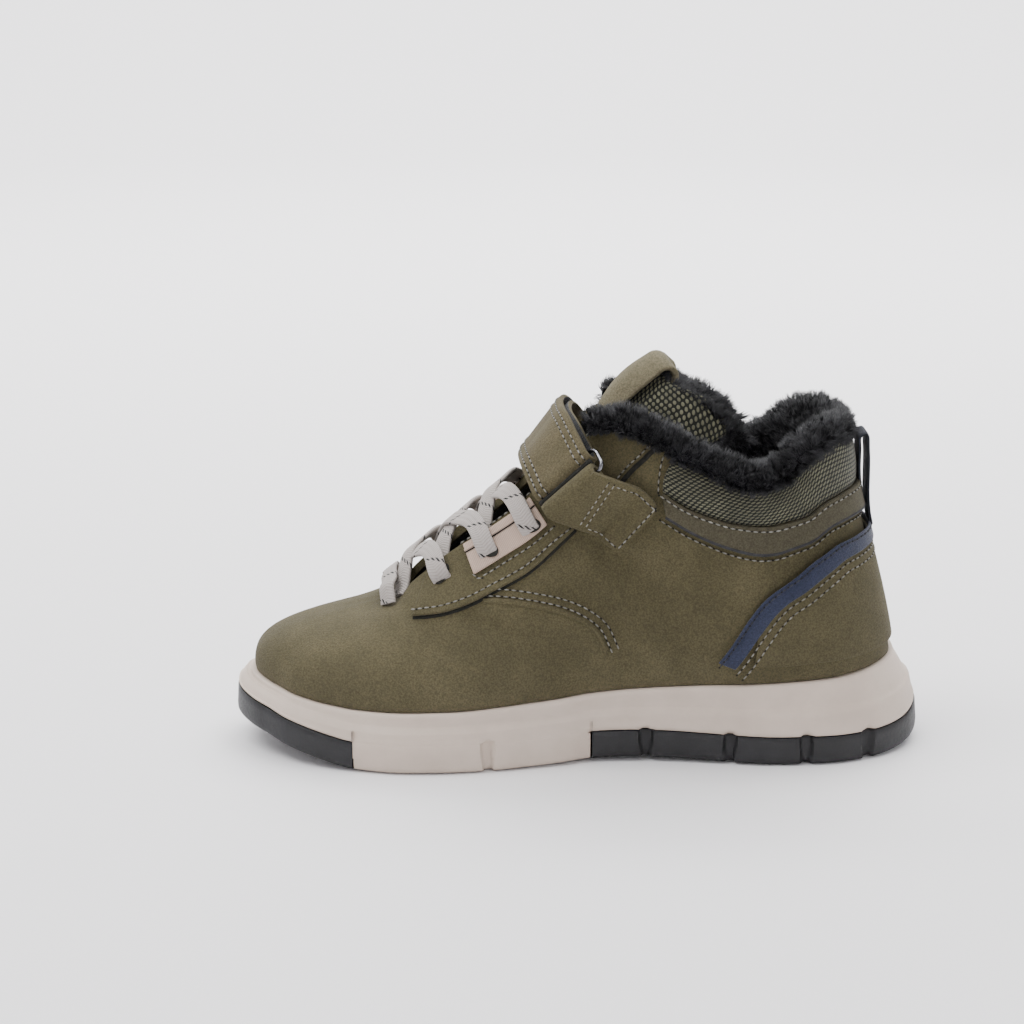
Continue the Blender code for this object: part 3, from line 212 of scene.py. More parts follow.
@dataclass
class Last:
    """Form of the boot: the sole's outline and the upper's wall over it."""

    sole_length: float = 0.226
    ball_width: float = 0.089
    sole_stack: float = 0.030
    toe_spring: float = 0.0095
    upper_rise: float = 0.080
    heel_flare: float = 0.0095
    feather_inset: float = 0.0005
    seat: float = 0.0003
    heel_lean: float = 0.0043
    heel_drop: float = 0.0022
    lean_from: tuple[float, float] = (0.050, 0.035)
    lean_over: tuple[float, float] = (0.042, 0.070)

    @cached_property
    def half(self) -> float:
        """Half of the ball's width."""
        return self.ball_width / 2

    @cached_property
    def outline(self) -> Array:
        """Sole outline, one point for each row round the shoe."""
        shift = (SOLE_ROWS[:, 3].max() - SOLE_ROWS[:, 1].max()) * self.half / 2
        lateral = SOLE_ROWS[:, (0, 1)] * (self.sole_length, self.half)
        medial = SOLE_ROWS[-2:0:-1, (2, 3)] * (self.sole_length, -self.half)
        flat = np.vstack([lateral, medial]) + (-self.sole_length / 2, shift)
        return np.hstack([flat, np.zeros((LOOP_ROWS, 1))])

    def round_column(self, table: Array, column: int, size: float) -> Array:
        """One column of a half table run round the shoe.

        Args:
            table: Rows from toe to heel.
            column: Index of the column.
            size: Length that the shares follow.

        Returns:
            A column of lengths.
        """
        half = table[:, column] * size
        return np.concatenate([half, half[-2:0:-1]])[:, None]

    @cached_property
    def lifts(self) -> Array:
        """Height of the tread over the floor."""
        return self.round_column(SOLE_ROWS, 4, self.toe_spring)

    @cached_property
    def tops(self) -> Array:
        """Height of the sole's top."""
        return self.round_column(SOLE_ROWS, 5, self.sole_stack)

    @cached_property
    def flares(self) -> Array:
        """Reach of the sole past the upper."""
        return self.round_column(SOLE_ROWS, 6, self.heel_flare)

    def outward(self, v: Array) -> Array:
        """Flat way out of the sole's outline at v."""
        ahead = cyclic(self.outline, v + 0.02) - cyclic(self.outline, v - 0.02)
        return unit(np.stack([-ahead[:, 1], ahead[:, 0], 0 * ahead[:, 0]], axis=1))

    def ring(self, v: Array, inset: Array, height: Array) -> Array:
        """Points of the sole.

        Args:
            v: Stations.
            inset: Distance in from the outline.
            height: Height over the floor.

        Returns:
            One point for each station.
        """
        points = cyclic(self.outline, v) - self.outward(v) * np.reshape(inset, (-1, 1))
        points[:, 2] = height
        return points

    @cached_property
    def wall(self) -> tuple[Array, Array, Array, Array]:
        """The four control rows of the upper's wall."""
        v = np.arange(LOOP_ROWS)
        inset = self.flares[:, 0] + self.feather_inset
        low = self.ring(v, inset, self.tops[:, 0] + self.seat)
        flat = TOP_ROWS[:, :2] * (self.sole_length, self.half) - (self.sole_length / 2, 0)
        rise = self.sole_stack + TOP_ROWS[:, 2] * self.upper_rise
        lateral = np.column_stack([flat, rise])
        high = np.vstack([lateral, lateral[-2:0:-1] * (1, -1, 1)])
        up, bulge, reach, drop = (self.round_column(TOP_ROWS, k, self.upper_rise)
                                  for k in (3, 4, 5, 6))
        side = self.outward(v)
        lean = unit(unit((low - high) * (1, 1, 0)) + side)
        top = np.array((0.0, 0.0, 1.0))
        return low, low + top * up + side * bulge, high + lean * reach - top * drop, high

    def point(self, v: Array, t: Array) -> Array:
        """Point of the upper's outer face.

        Args:
            v: Station round the shoe, counted in rows.
            t: Height share, from the sole to the top line.

        Returns:
            One point for each pair.
        """
        v, t = np.broadcast_arrays(np.asarray(v, float), np.asarray(t, float))
        a, b, c, d = (cyclic(rows, v.ravel()) for rows in self.wall)
        s = t.ravel()[:, None]
        flat = (1 - s) ** 3 * a + 3 * (1 - s) ** 2 * s * b + 3 * (1 - s) * s ** 2 * c + s ** 3 * d
        back, high = (ease((flat[:, k] - first) / over)
                      for k, first, over in zip((0, 2), self.lean_from, self.lean_over))
        back = back * high
        flat[:, 0] -= self.heel_lean * back
        flat[:, 2] -= self.heel_drop * back ** 2
        return flat.reshape(v.shape + (3,))

    def tangents(self, v: Array, t: Array) -> tuple[Array, Array]:
        """Change of the outer face's point for one row, and for the whole height."""
        along = (self.point(v + 0.05, t) - self.point(v - 0.05, t)) / 0.1
        rise = (self.point(v, t + 0.01) - self.point(v, t - 0.01)) / 0.02
        return along, rise

    def normal(self, v: Array, t: Array) -> Array:
        """Way out of the upper's outer face."""
        along, rise = self.tangents(v, t)
        return unit(np.cross(rise, along))

    def lift(self, v: Array, t: Array, distance: Array) -> Array:
        """Point at a distance out of the upper's outer face."""
        return self.point(v, t) + self.normal(v, t) * np.asarray(distance)[..., None]

    def slide(self, places: Array, shift: Array) -> Array:
        """Move places on the face by small vectors.

        Args:
            places: Stations and height shares.
            shift: One vector for each place.

        Returns:
            The new stations and height shares.
        """
        along, rise = self.tangents(places[:, 0], places[:, 1])
        aa, ar, rr = (np.sum(p * q, 1) for p, q in ((along, along), (along, rise), (rise, rise)))
        sa, sr = np.sum(shift * along, 1), np.sum(shift * rise, 1)
        scale = aa * rr - ar ** 2
        return places + np.column_stack([sa * rr - sr * ar, sr * aa - sa * ar]) / scale[:, None]

    def locate(self, x: float, z: float, side: Side) -> tuple[float, float]:
        """Find the place seen at a point of the side view.

        Args:
            x: Distance along the shoe.
            z: Height over the floor.
            side: Side of the shoe.

        Returns:
            Station and height share.
        """
        v = np.linspace(2, LAST_ROW, 101)
        v = v if side is Side.LATERAL else LOOP_ROWS - v
        t = np.linspace(0, 1, 41)
        spread_v, spread_t = v[1] - v[0], t[1] - t[0]
        for _ in range(5):
            points = self.point(*np.meshgrid(v, t, indexing="ij"))
            miss = (points[..., 0] - x) ** 2 + (points[..., 2] - z) ** 2
            i, j = np.unravel_index(np.argmin(miss), miss.shape)
            best = (v[i], t[j])
            v = np.linspace(best[0] - spread_v, best[0] + spread_v, 9)
            t = np.clip(np.linspace(best[1] - spread_t, best[1] + spread_t, 9), 0, 1)
            spread_v, spread_t = spread_v / 3, spread_t / 3
        return best

    def back_share(self, z: float) -> float:
        """Height share of the heel's back line at a height over the floor."""
        t = np.linspace(0, 1, 401)
        return float(t[np.argmin(abs(self.point(np.full(401, LAST_ROW), t)[:, 2] - z))])

    def rim_station(self, x: float, side: Side) -> float:
        """Station of the top line at a distance along the shoe."""
        row = float(np.interp(x, self.wall[3][:LAST_ROW + 1, 0], np.arange(LAST_ROW + 1)))
        return row if side is Side.LATERAL else LOOP_ROWS - row


LAST = Last()


@dataclass
class Seam:
    """Line on the upper, kept as stations and height shares."""

    places: Array

    @classmethod
    def through(cls, points: Pairs, side: Side) -> "Seam":
        """Line through points of the side view, in millimetres along and up."""
        return cls(np.array([LAST.locate(x * MM, z * MM, side) for x, z in points]))

    @classmethod
    def both(cls, points: Pairs, back: float) -> "Seam":
        """Line from the lateral front round the heel to the medial front.

        Args:
            points: Points of the side view from the front, in millimetres.
            back: Height of the line at the heel's back, in millimetres.

        Returns:
            The line.
        """
        medial = np.array([LAST.locate(x * MM, z * MM, Side.MEDIAL) for x, z in points])
        lateral = medial * (-1, 1) + (LOOP_ROWS, 0)
        middle = (LAST_ROW, LAST.back_share(back * MM))
        ends = [lateral[-1] * (1 - k) + np.array(middle) * k for k in (0.33, 0.66)]
        mirrored = [end * (-1, 1) + (LOOP_ROWS, 0) for end in ends]
        return cls(np.vstack([lateral, ends, [middle], mirrored[::-1], medial[::-1]]))

    def at(self, share: Array) -> Array:
        """Places at shares of the line."""
        return along_rows(self.places, share)

    def walk(self, pitch: float, height: float, aside: float = 0.0,
             ends: tuple[float, float] = (0.0, 1.0)) -> tuple[Array, Array, Array]:
        """Step along the line.

        Args:
            pitch: Length of a step.
            height: Distance out of the upper.
            aside: Distance to the left of the line on the face.
            ends: Shares where the walk starts and stops.

        Returns:
            Points, ways ahead and ways out.
        """
        share = np.linspace(ends[0], ends[1], 400)
        places = self.at(share)
        if aside:
            points = LAST.point(places[:, 0], places[:, 1])
            ahead = unit(np.gradient(points, axis=0))
            left = np.cross(LAST.normal(places[:, 0], places[:, 1]), ahead)
            places = LAST.slide(places, left * aside)
        points = LAST.point(places[:, 0], places[:, 1])
        run = run_of(points)
        steps = max(int(round(run[-1] / pitch)), 1)
        places = read_at(np.linspace(0, run[-1], steps + 1), run, places)
        points = LAST.lift(places[:, 0], places[:, 1], np.full(len(places), height))
        outs = LAST.normal(places[:, 0], places[:, 1])
        return points, unit(np.gradient(points, axis=0)), outs


def deselect() -> None:
    """Leave nothing selected."""
    for piece in bpy.context.selected_objects:
        piece.select_set(False)


def apply_modifiers(piece: Piece) -> None:
    """Apply every modifier of a piece in order."""
    bpy.context.view_layer.objects.active = piece
    for change in list(piece.modifiers):
        bpy.ops.object.modifier_apply(modifier=change.name)


def edit(piece: Piece, *steps: Callable[[], object]) -> None:
    """Run edit-mode steps on all of a piece's mesh."""
    deselect()
    piece.select_set(True)
    bpy.context.view_layer.objects.active = piece
    bpy.ops.object.mode_set(mode="EDIT")
    bpy.ops.mesh.select_all(action="SELECT")
    for step in steps:
        step()
    bpy.ops.object.mode_set(mode="OBJECT")


def corner_points(mesh: bpy.types.Mesh) -> Array:
    """Places of a mesh's points."""
    flat = np.empty(3 * len(mesh.vertices))
    mesh.vertices.foreach_get("co", flat)
    return flat.reshape(-1, 3)


def set_points(mesh: bpy.types.Mesh, points: Array) -> None:
    """Move a mesh's points."""
    mesh.vertices.foreach_set("co", np.asarray(points, float).ravel())
    mesh.update()


@dataclass
class Sheet:
    """Grid of faces placed on a form, with a map in metres along both ways.

    Args:
        name: Name of the piece.
        spans: Faces along and across.
        place: Points of the form for shares along and across.
        thick: Thickness given inwards, or none.
        bevel: Width of the rounded edge.
        closed: The form closes along or across.
        turned: The faces point the other way.
        ends: The ends of a tube get caps.
    """

    name: str
    spans: tuple[int, int]
    place: Place
    thick: float = 0.0
    bevel: float = 0.0
    closed: bool = False
    turned: bool = False
    ends: bool = False

    def build(self) -> Piece:
        """Model the sheet."""
        deselect()
        cols, rows = self.spans
        bpy.ops.mesh.primitive_grid_add(x_subdivisions=cols, y_subdivisions=rows, size=2)
        piece = bpy.context.object
        piece.name = piece.data.name = self.name
        flat = corner_points(piece.data)
        u, v = (flat[:, 0] + 1) / 2, (flat[:, 1] + 1) / 2
        points = self.place(u, v)
        set_points(piece.data, points)
        self.map_in_metres(piece, points, np.rint(u * cols), np.rint(v * rows))
        steps = []
        if self.closed:
            steps.append(lambda: bpy.ops.mesh.remove_doubles(threshold=2e-6))
        if self.ends:
            steps.append(lambda: bpy.ops.mesh.fill_holes(sides=0))
            steps.append(lambda: bpy.ops.mesh.normals_make_consistent(inside=False))
        if self.turned:
            steps.append(bpy.ops.mesh.flip_normals)
        edit(piece, *steps)
        if self.thick:
            wall = piece.modifiers.new("wall", "SOLIDIFY")
            wall.thickness = self.thick
            wall.offset = -1
        if self.bevel:
            edge = piece.modifiers.new("edge", "BEVEL")
            edge.width = self.bevel
            edge.segments = 2
            edge.limit_method = "ANGLE"
            edge.angle_limit = SMOOTH_ANGLE
        apply_modifiers(piece)
        bpy.ops.object.shade_smooth_by_angle(angle=SMOOTH_ANGLE)
        return piece

    def map_in_metres(self, piece: Piece, points: Array, col: Array, row: Array) -> None:
        """Set the piece's map to distances along and across the form."""
        cols, rows = self.spans
        grid = np.empty((cols + 1, rows + 1, 3))
        col, row = col.astype(int), row.astype(int)
        grid[col, row] = points
        along = np.linalg.norm(np.diff(grid, axis=0), axis=2).mean(axis=1)
        across = np.linalg.norm(np.diff(grid, axis=1), axis=2).mean(axis=0)
        runs = [np.concatenate([[0], np.cumsum(steps)]) for steps in (along, across)]
        corners = np.empty(len(piece.data.loops), int)
        piece.data.loops.foreach_get("vertex_index", corners)
        flat = np.column_stack([runs[0][col], runs[1][row]])[corners]
        piece.data.uv_layers.active.data.foreach_set("uv", flat.ravel())


def join(name: str, pieces: Sequence[Piece]) -> Piece:
    """Join pieces into one."""
    deselect()
    for piece in pieces:
        piece.select_set(True)
    bpy.context.view_layer.objects.active = pieces[0]
    bpy.ops.object.join()
    pieces[0].name = pieces[0].data.name = name
    return pieces[0]


def repeated(name: str, points: Array, faces: Sequence[tuple[int, ...]]) -> Piece:
    """One mesh of many small parts that share the same faces.

    Args:
        name: Name of the piece.
        points: Points of each part.
        faces: Faces of one part, by its points.

    Returns:
        The piece.
    """
    count, corners_each = points.shape[:2]
    corners = np.concatenate([np.array(face) for face in faces])
    loops = (np.arange(count)[:, None] * corners_each + corners[None]).ravel()
    sizes = np.tile([len(face) for face in faces], count)
    mesh = bpy.data.meshes.new(name)
    mesh.vertices.add(count * corners_each)
    mesh.vertices.foreach_set("co", points.ravel())
    mesh.loops.add(len(loops))
    mesh.loops.foreach_set("vertex_index", loops)
    mesh.polygons.add(len(sizes))
    mesh.polygons.foreach_set("loop_start", np.concatenate([[0], np.cumsum(sizes)[:-1]]))
    mesh.polygons.foreach_set("use_smooth", np.ones(len(sizes), bool))
    mesh.update(calc_edges=True)
    piece = bpy.data.objects.new(name, mesh)
    bpy.context.collection.objects.link(piece)
    return piece


def copies(name: str, template: Piece, frames: Array) -> Piece:
    """Copy a small template to many places as one mesh.

    Args:
        name: Name of the joined piece.
        template: Piece about the origin. It is used up.
        frames: One matrix of three columns and a place for each copy.

    Returns:
        The joined piece.
    """
    base = corner_points(template.data)
    faces = [tuple(face.vertices) for face in template.data.polygons]
    points = np.einsum("nij,kj->nki", frames[:, :, :3], base) + frames[:, None, :, 3]
    bpy.data.objects.remove(template)
    return repeated(name, points, faces)


def frames_of(points: Array, ahead: Array, outs: Array) -> Array:
    """Matrices with the first axis ahead and the third one out."""
    side = unit(np.cross(outs, ahead))
    outs = np.cross(ahead, side)
    return np.stack([ahead, side, outs, points], axis=2)


def tube(name: str, centre: Array, outs: Array, half: tuple[float, float], sides: int = 8,
         round_off: float = 1.0, closed: bool = False, taper: Optional[Array] = None) -> Piece:
    """Rounded bar along a line.

    Args:
        name: Name of the piece.
        centre: Points of the line.
        outs: Ways out, one for each point.
        half: Half width across and half height out.
        sides: Faces round the section.
        round_off: 1 for an ellipse, less for a flatter section.
        closed: The line is a loop.
        taper: Share of the half width at each point.

    Returns:
        The piece.
    """
    shares = np.ones(len(centre)) if taper is None else taper
    ahead = unit(np.roll(centre, -1, 0) - np.roll(centre, 1, 0)) if closed else \
        unit(np.gradient(centre, axis=0))
    side = unit(np.cross(outs, ahead))
    outs = np.cross(ahead, side)
    last = len(centre) if closed else len(centre) - 1

    def place(u: Array, v: Array) -> Array:
        """Point of the section v at the station u."""
        i = np.rint(u * last).astype(int) % len(centre)
        angle = 2 * math.pi * v
        across = flatten(np.cos(angle), round_off) * half[0] * shares[i]
        up = flatten(np.sin(angle), round_off) * half[1]
        return centre[i] + side[i] * across[:, None] + outs[i] * up[:, None]

    return Sheet(name, (last, sides), place, closed=True, turned=closed, ends=not closed).build()


class Shader:
    """Node tree of one material, put together in code."""

    def __init__(self, name: str) -> None:
        """Start a material with one principled shader."""
        self.material = bpy.data.materials.new(name)
        self.material.use_nodes = True
        self.tree = self.material.node_tree
        self.surface = self.tree.nodes["Principled BSDF"]

    def node(self, kind: str, inputs: Optional[dict] = None, **settings: object) -> bpy.types.Node:
        """Add a node with its settings, its plain values and its links."""
        node = self.tree.nodes.new(kind)
        for key, value in settings.items():
            setattr(node, key, value)
        for key, value in (inputs or {}).items():
            self.feed(node.inputs[key], value)
        return node

    def feed(self, socket: bpy.types.NodeSocket, value: object) -> None:
        """Link a socket, or set its value."""
        if isinstance(value, bpy.types.NodeSocket):
            self.tree.links.new(value, socket)
        else:
            socket.default_value = value

    def math(self, operation: str, *values: object) -> bpy.types.NodeSocket:
        """Result of a math node."""
        node = self.tree.nodes.new("ShaderNodeMath")
        node.operation = operation
        for socket, value in zip(node.inputs, values):
            self.feed(socket, value)
        return node.outputs[0]

    def mix(self, factor: object, low: object, high: object) -> bpy.types.NodeSocket:
        """Colour between two others."""
        node = self.tree.nodes.new("ShaderNodeMix")
        node.data_type = "RGBA"
        for key, value in ((0, factor), (6, low), (7, high)):
            value = (*value, 1.0) if isinstance(value, tuple) and len(value) == 3 else value
            self.feed(node.inputs[key], value)
        return node.outputs[2]

    def step(self, value: object, low: float, high: float,
             to: tuple[float, float] = (0.0, 1.0)) -> bpy.types.NodeSocket:
        """Smooth step of a value between two others."""
        node = self.node("ShaderNodeMapRange", {"Value": value, "From Min": low, "From Max": high,
                                                "To Min": to[0], "To Max": to[1]})
        node.interpolation_type = "SMOOTHSTEP"
        return node.outputs[0]

    def place(self, flat: bool = False) -> bpy.types.NodeSocket:
        """Place in metres, on the object or on the piece's own map."""
        return self.node("ShaderNodeTexCoord").outputs["UV" if flat else "Object"]

    def split(self, flat: bool = True) -> tuple[bpy.types.NodeSocket, bpy.types.NodeSocket]:
        """Distances along and across the piece's own map."""
        outputs = self.node("ShaderNodeSeparateXYZ", {"Vector": self.place(flat)}).outputs
        return outputs[0], outputs[1]

    def noise(self, size: float, detail: float = 3.0, rough: float = 0.5,
              place: object = None) -> bpy.types.NodeSocket:
        """Cloudy pattern with cells of a size in metres."""
        node = self.node("ShaderNodeTexNoise", {"Vector": place or self.place(),
                                                "Scale": 1 / size, "Detail": detail,
                                                "Roughness": rough})
        return node.outputs["Fac"]

    def bump(self, height: object, depth: float, normal: object = None) -> bpy.types.NodeSocket:
        """Normal of a relief that is depth high in metres."""
        inputs = {"Height": height, "Distance": depth, "Strength": 1.0}
        if normal is not None:
            inputs["Normal"] = normal
        return self.node("ShaderNodeBump", inputs).outputs[0]

    def finish(self, color: object, roughness: object, normal: object = None,
               **plain: float) -> bpy.types.Material:
        """Set the surface's sockets and return the material.

        Args:
            color: Base colour, plain or linked.
            roughness: Roughness, plain or linked.
            normal: Normal, where there is relief.
            plain: Other sockets by name, with underscores for spaces.

        Returns:
            The material.
        """
        value = (*color, 1.0) if isinstance(color, tuple) else color
        self.feed(self.surface.inputs["Base Color"], value)
        self.feed(self.surface.inputs["Roughness"], roughness)
        if normal is not None:
            self.feed(self.surface.inputs["Normal"], normal)
        for key, amount in plain.items():
            self.surface.inputs[key.replace("_", " ")].default_value = amount
        return self.material


def new_group(name: str, inputs: Sequence[str], outputs: Sequence[str]) -> tuple:
    """Empty group with a place and plain values as sockets.

    Args:
        name: Name of the group.
        inputs: Names of the values it takes beside the place.
        outputs: Names of the values it gives.

    Returns:
        The group, its input node and its output node.
    """
    tree = bpy.data.node_groups.new(name, "ShaderNodeTree")
    tree.interface.new_socket("Place", in_out="INPUT", socket_type="NodeSocketVector")
    for way, names in (("INPUT", inputs), ("OUTPUT", outputs)):
        for socket in names:
            tree.interface.new_socket(socket, in_out=way, socket_type="NodeSocketFloat")
    return tree, tree.nodes.new("NodeGroupInput"), tree.nodes.new("NodeGroupOutput")


def grain_group() -> bpy.types.NodeTree:
    """Group for nap, grain and soft mottling, with a mask and a height."""
    tree, start, end = new_group("surface_grain", ("Fine", "Patch"), ("Mask", "Height"))
    fine = tree.nodes.new("ShaderNodeTexNoise")
    fine.inputs["Detail"].default_value = 4
    fine.inputs["Roughness"].default_value = 0.65
    patch = tree.nodes.new("ShaderNodeTexNoise")
    patch.inputs["Detail"].default_value = 5
    patch.inputs["Roughness"].default_value = 0.6
    blend = tree.nodes.new("ShaderNodeMapRange")
    blend.interpolation_type = "SMOOTHSTEP"
    blend.inputs["From Min"].default_value = 0.36
    blend.inputs["From Max"].default_value = 0.66
    for node, key in ((fine, "Fine"), (patch, "Patch")):
        tree.links.new(start.outputs["Place"], node.inputs["Vector"])
        tree.links.new(start.outputs[key], node.inputs["Scale"])
    tree.links.new(patch.outputs["Fac"], blend.inputs["Value"])
    tree.links.new(blend.outputs[0], end.inputs["Mask"])
    tree.links.new(fine.outputs["Fac"], end.inputs["Height"])
    return tree


def dust_group() -> bpy.types.NodeTree:
    """Group for pale dust that lies thicker near the floor."""
    tree, start, end = new_group("floor_dust", ("Reach",), ("Mask",))
    split = tree.nodes.new("ShaderNodeSeparateXYZ")
    high = tree.nodes.new("ShaderNodeMapRange")
    high.inputs["To Min"].default_value = 1.0
    high.inputs["To Max"].default_value = 0.0
    cloud = tree.nodes.new("ShaderNodeTexNoise")
    cloud.inputs["Scale"].default_value = 90
    cloud.inputs["Detail"].default_value = 6
    both = tree.nodes.new("ShaderNodeMath")
    both.operation = "MULTIPLY"
    tree.links.new(start.outputs["Place"], split.inputs["Vector"])
    tree.links.new(start.outputs["Place"], cloud.inputs["Vector"])
    tree.links.new(split.outputs[2], high.inputs["Value"])
    tree.links.new(start.outputs["Reach"], high.inputs["From Max"])
    tree.links.new(high.outputs[0], both.inputs[0])
    tree.links.new(cloud.outputs["Fac"], both.inputs[1])
    tree.links.new(both.outputs[0], end.inputs["Mask"])
    return tree


GRAIN = grain_group()
DUST = dust_group()


@dataclass(frozen=True)
class Nubuck:
    """Napped leather in two close tones, rubbed paler in places."""

    name: str
    dark: tuple[float, float, float]
    light: tuple[float, float, float]
    nap: float = 0.00042
    patch: float = 0.030
    sheen: float = 0.03
    dusty: float = 0.055

    def material(self) -> bpy.types.Material:
        """Make the finish."""
        shader = Shader(self.name)
        grain = shader.node("ShaderNodeGroup", {"Place": shader.place(), "Fine": 1 / self.nap,
                                                "Patch": 1 / self.patch}, node_tree=GRAIN)
        pores = shader.noise(0.0006, 3.0, 0.65)
        dust = shader.node("ShaderNodeGroup", {"Place": shader.place(), "Reach": self.dusty},
                           node_tree=DUST)
        soft = shader.math("MULTIPLY", grain.outputs["Mask"], 0.55)
        base = shader.mix(shader.math("ADD", soft, shader.math("MULTIPLY", pores, 0.35)),
                          self.dark, self.light)
        both = shader.math("ADD", shader.math("MULTIPLY", grain.outputs["Height"], 0.5),
                           shader.math("MULTIPLY", pores, 0.5))
        speck = shader.step(both, 0.38, 0.62, (0.72, 1.22))
        tinted = shader.node("ShaderNodeMix", data_type="RGBA", blend_type="MULTIPLY")
        shader.feed(tinted.inputs[0], 1.0)
        shader.feed(tinted.inputs[6], base)
        shader.feed(tinted.inputs[7], speck)
        dusty = shader.mix(shader.math("MULTIPLY", dust.outputs["Mask"], 0.06),
                           tinted.outputs[2], (0.30, 0.27, 0.23))
        height = shader.math("ADD", shader.math("MULTIPLY", grain.outputs["Height"], 0.6),
                             shader.math("MULTIPLY", pores, 0.6))
        return shader.finish(dusty, shader.step(grain.outputs["Height"], 0.3, 0.7, (0.82, 0.97)),
                             shader.bump(height, 0.00032), Sheen_Weight=self.sheen,
                             Sheen_Roughness=0.5, Specular_IOR_Level=0.16)


@dataclass(frozen=True)
class Rubber:
    """Moulded rubber with a fine skin."""

    name: str
    color: tuple[float, float, float]
    worn: tuple[float, float, float]
    roughness: float
    texture: float
    depth: float
    dust: float = 0.12
    dusty: float = 0.030

    def material(self) -> bpy.types.Material:
        """Make the finish."""
        shader = Shader(self.name)
        cells = shader.node("ShaderNodeTexVoronoi", {"Vector": shader.place(),
                                                     "Scale": 1 / self.texture})
        clouds = shader.noise(0.018, 5.0, 0.6)
        fine = shader.noise(0.0004, 3.0, 0.6)
        dust = shader.node("ShaderNodeGroup", {"Place": shader.place(), "Reach": self.dusty},
                           node_tree=DUST)
        tone = shader.mix(shader.step(clouds, 0.35, 0.7), self.color, self.worn)
        tone = shader.mix(shader.math("MULTIPLY", dust.outputs["Mask"], self.dust), tone,
                          (0.34, 0.30, 0.26))
        height = shader.math("ADD", cells.outputs["Distance"], shader.math("MULTIPLY", fine, 0.8))
        rough = shader.step(fine, 0.3, 0.7, (self.roughness - 0.08, self.roughness + 0.08))
        return shader.finish(tone, rough, shader.bump(height, self.depth),
                             Specular_IOR_Level=0.38)


@dataclass(frozen=True)
class Mesh:
    """Knitted mesh: rows of slanted pale dashes over a dark ground."""

    name: str
    ground: tuple[float, float, float] = (0.012, 0.013, 0.009)
    dash: tuple[float, float, float] = (0.150, 0.146, 0.092)
    pitch: float = 0.00160
    row: float = 0.00118
    slant: float = 0.75

    def material(self) -> bpy.types.Material:
        """Make the finish."""
        shader = Shader(self.name)
        along, across = shader.split()
        rows = shader.math("DIVIDE", across, self.row)
        index = shader.math("FLOOR", rows)
        local = shader.math("SUBTRACT", shader.math("FRACT", rows), 0.5)
        shift = shader.math("MULTIPLY", shader.math("MODULO", index, 2.0), 0.5)
        lean = shader.math("MULTIPLY", local, self.slant)
        cell = shader.math("ADD", shader.math("ADD", shader.math("DIVIDE", along, self.pitch),
                                              shift), lean)
        x = shader.math("SUBTRACT", shader.math("FRACT", cell), 0.5)
        wide = shader.math("POWER", shader.math("DIVIDE", x, 0.33), 2.0)
        tall = shader.math("POWER", shader.math("DIVIDE", local, 0.38), 2.0)
        round_up = shader.math("ADD", wide, tall)
        mask = shader.step(round_up, 0.7, 1.15, (1.0, 0.0))
        clouds = shader.noise(0.006, 4.0)
        tone = shader.mix(shader.step(clouds, 0.3, 0.7), self.dash,
                          tuple(c * 0.62 for c in self.dash))
        color = shader.mix(mask, self.ground, tone)
        height = shader.math("ADD", mask, shader.math("MULTIPLY", shader.noise(0.0003), 0.25))
        return shader.finish(color, shader.step(mask, 0, 1, (0.95, 0.72)),
                             shader.bump(height, 0.00035), Specular_IOR_Level=0.25,
                             Sheen_Weight=0.12)


@dataclass(frozen=True)
class Ribbed:
    """Cloth or soft plastic with fine raised ribs and painted shade in the troughs between them."""

    name: str
    color: tuple[float, float, float]
    # Darker colour of the troughs between the ribs: painted shade.
    groove: tuple[float, float, float]
    pitch: float
    wave: float = 0.0
    across_map: bool = False
    depth: float = 0.0003
    roughness: float = 0.7

    def material(self) -> bpy.types.Material:
        """Make the finish."""
        shader = Shader(self.name)
        along, across = shader.split()
        first, second = (across, along) if self.across_map else (along, across)
        sway = shader.math("MULTIPLY", shader.math("SINE", shader.math("MULTIPLY", second, 1500.0)),
                           self.wave)
        phase = shader.math("MULTIPLY", shader.math("ADD", first, sway),
                            2 * math.pi / self.pitch)
        ridge = shader.math("MULTIPLY", shader.math("ADD", shader.math("SINE", phase), 1.0), 0.5)
        fine = shader.noise(0.0005, 3.0)
        # The troughs between the ribs take the darker groove colour, as painted shade.
        color = shader.mix(shader.step(ridge, 0.1, 0.7), self.groove, self.color)
        color = shader.mix(shader.step(shader.noise(0.009, 4.0), 0.35, 0.7, (0.0, 0.35)), color,
                           tuple(c * 0.7 for c in self.color))
        height = shader.math("ADD", ridge, shader.math("MULTIPLY", fine, 0.3))
        return shader.finish(color, shader.step(fine, 0.3, 0.7, (self.roughness - 0.08,
                                                                  self.roughness + 0.1)),
                             shader.bump(height, self.depth), Specular_IOR_Level=0.3)


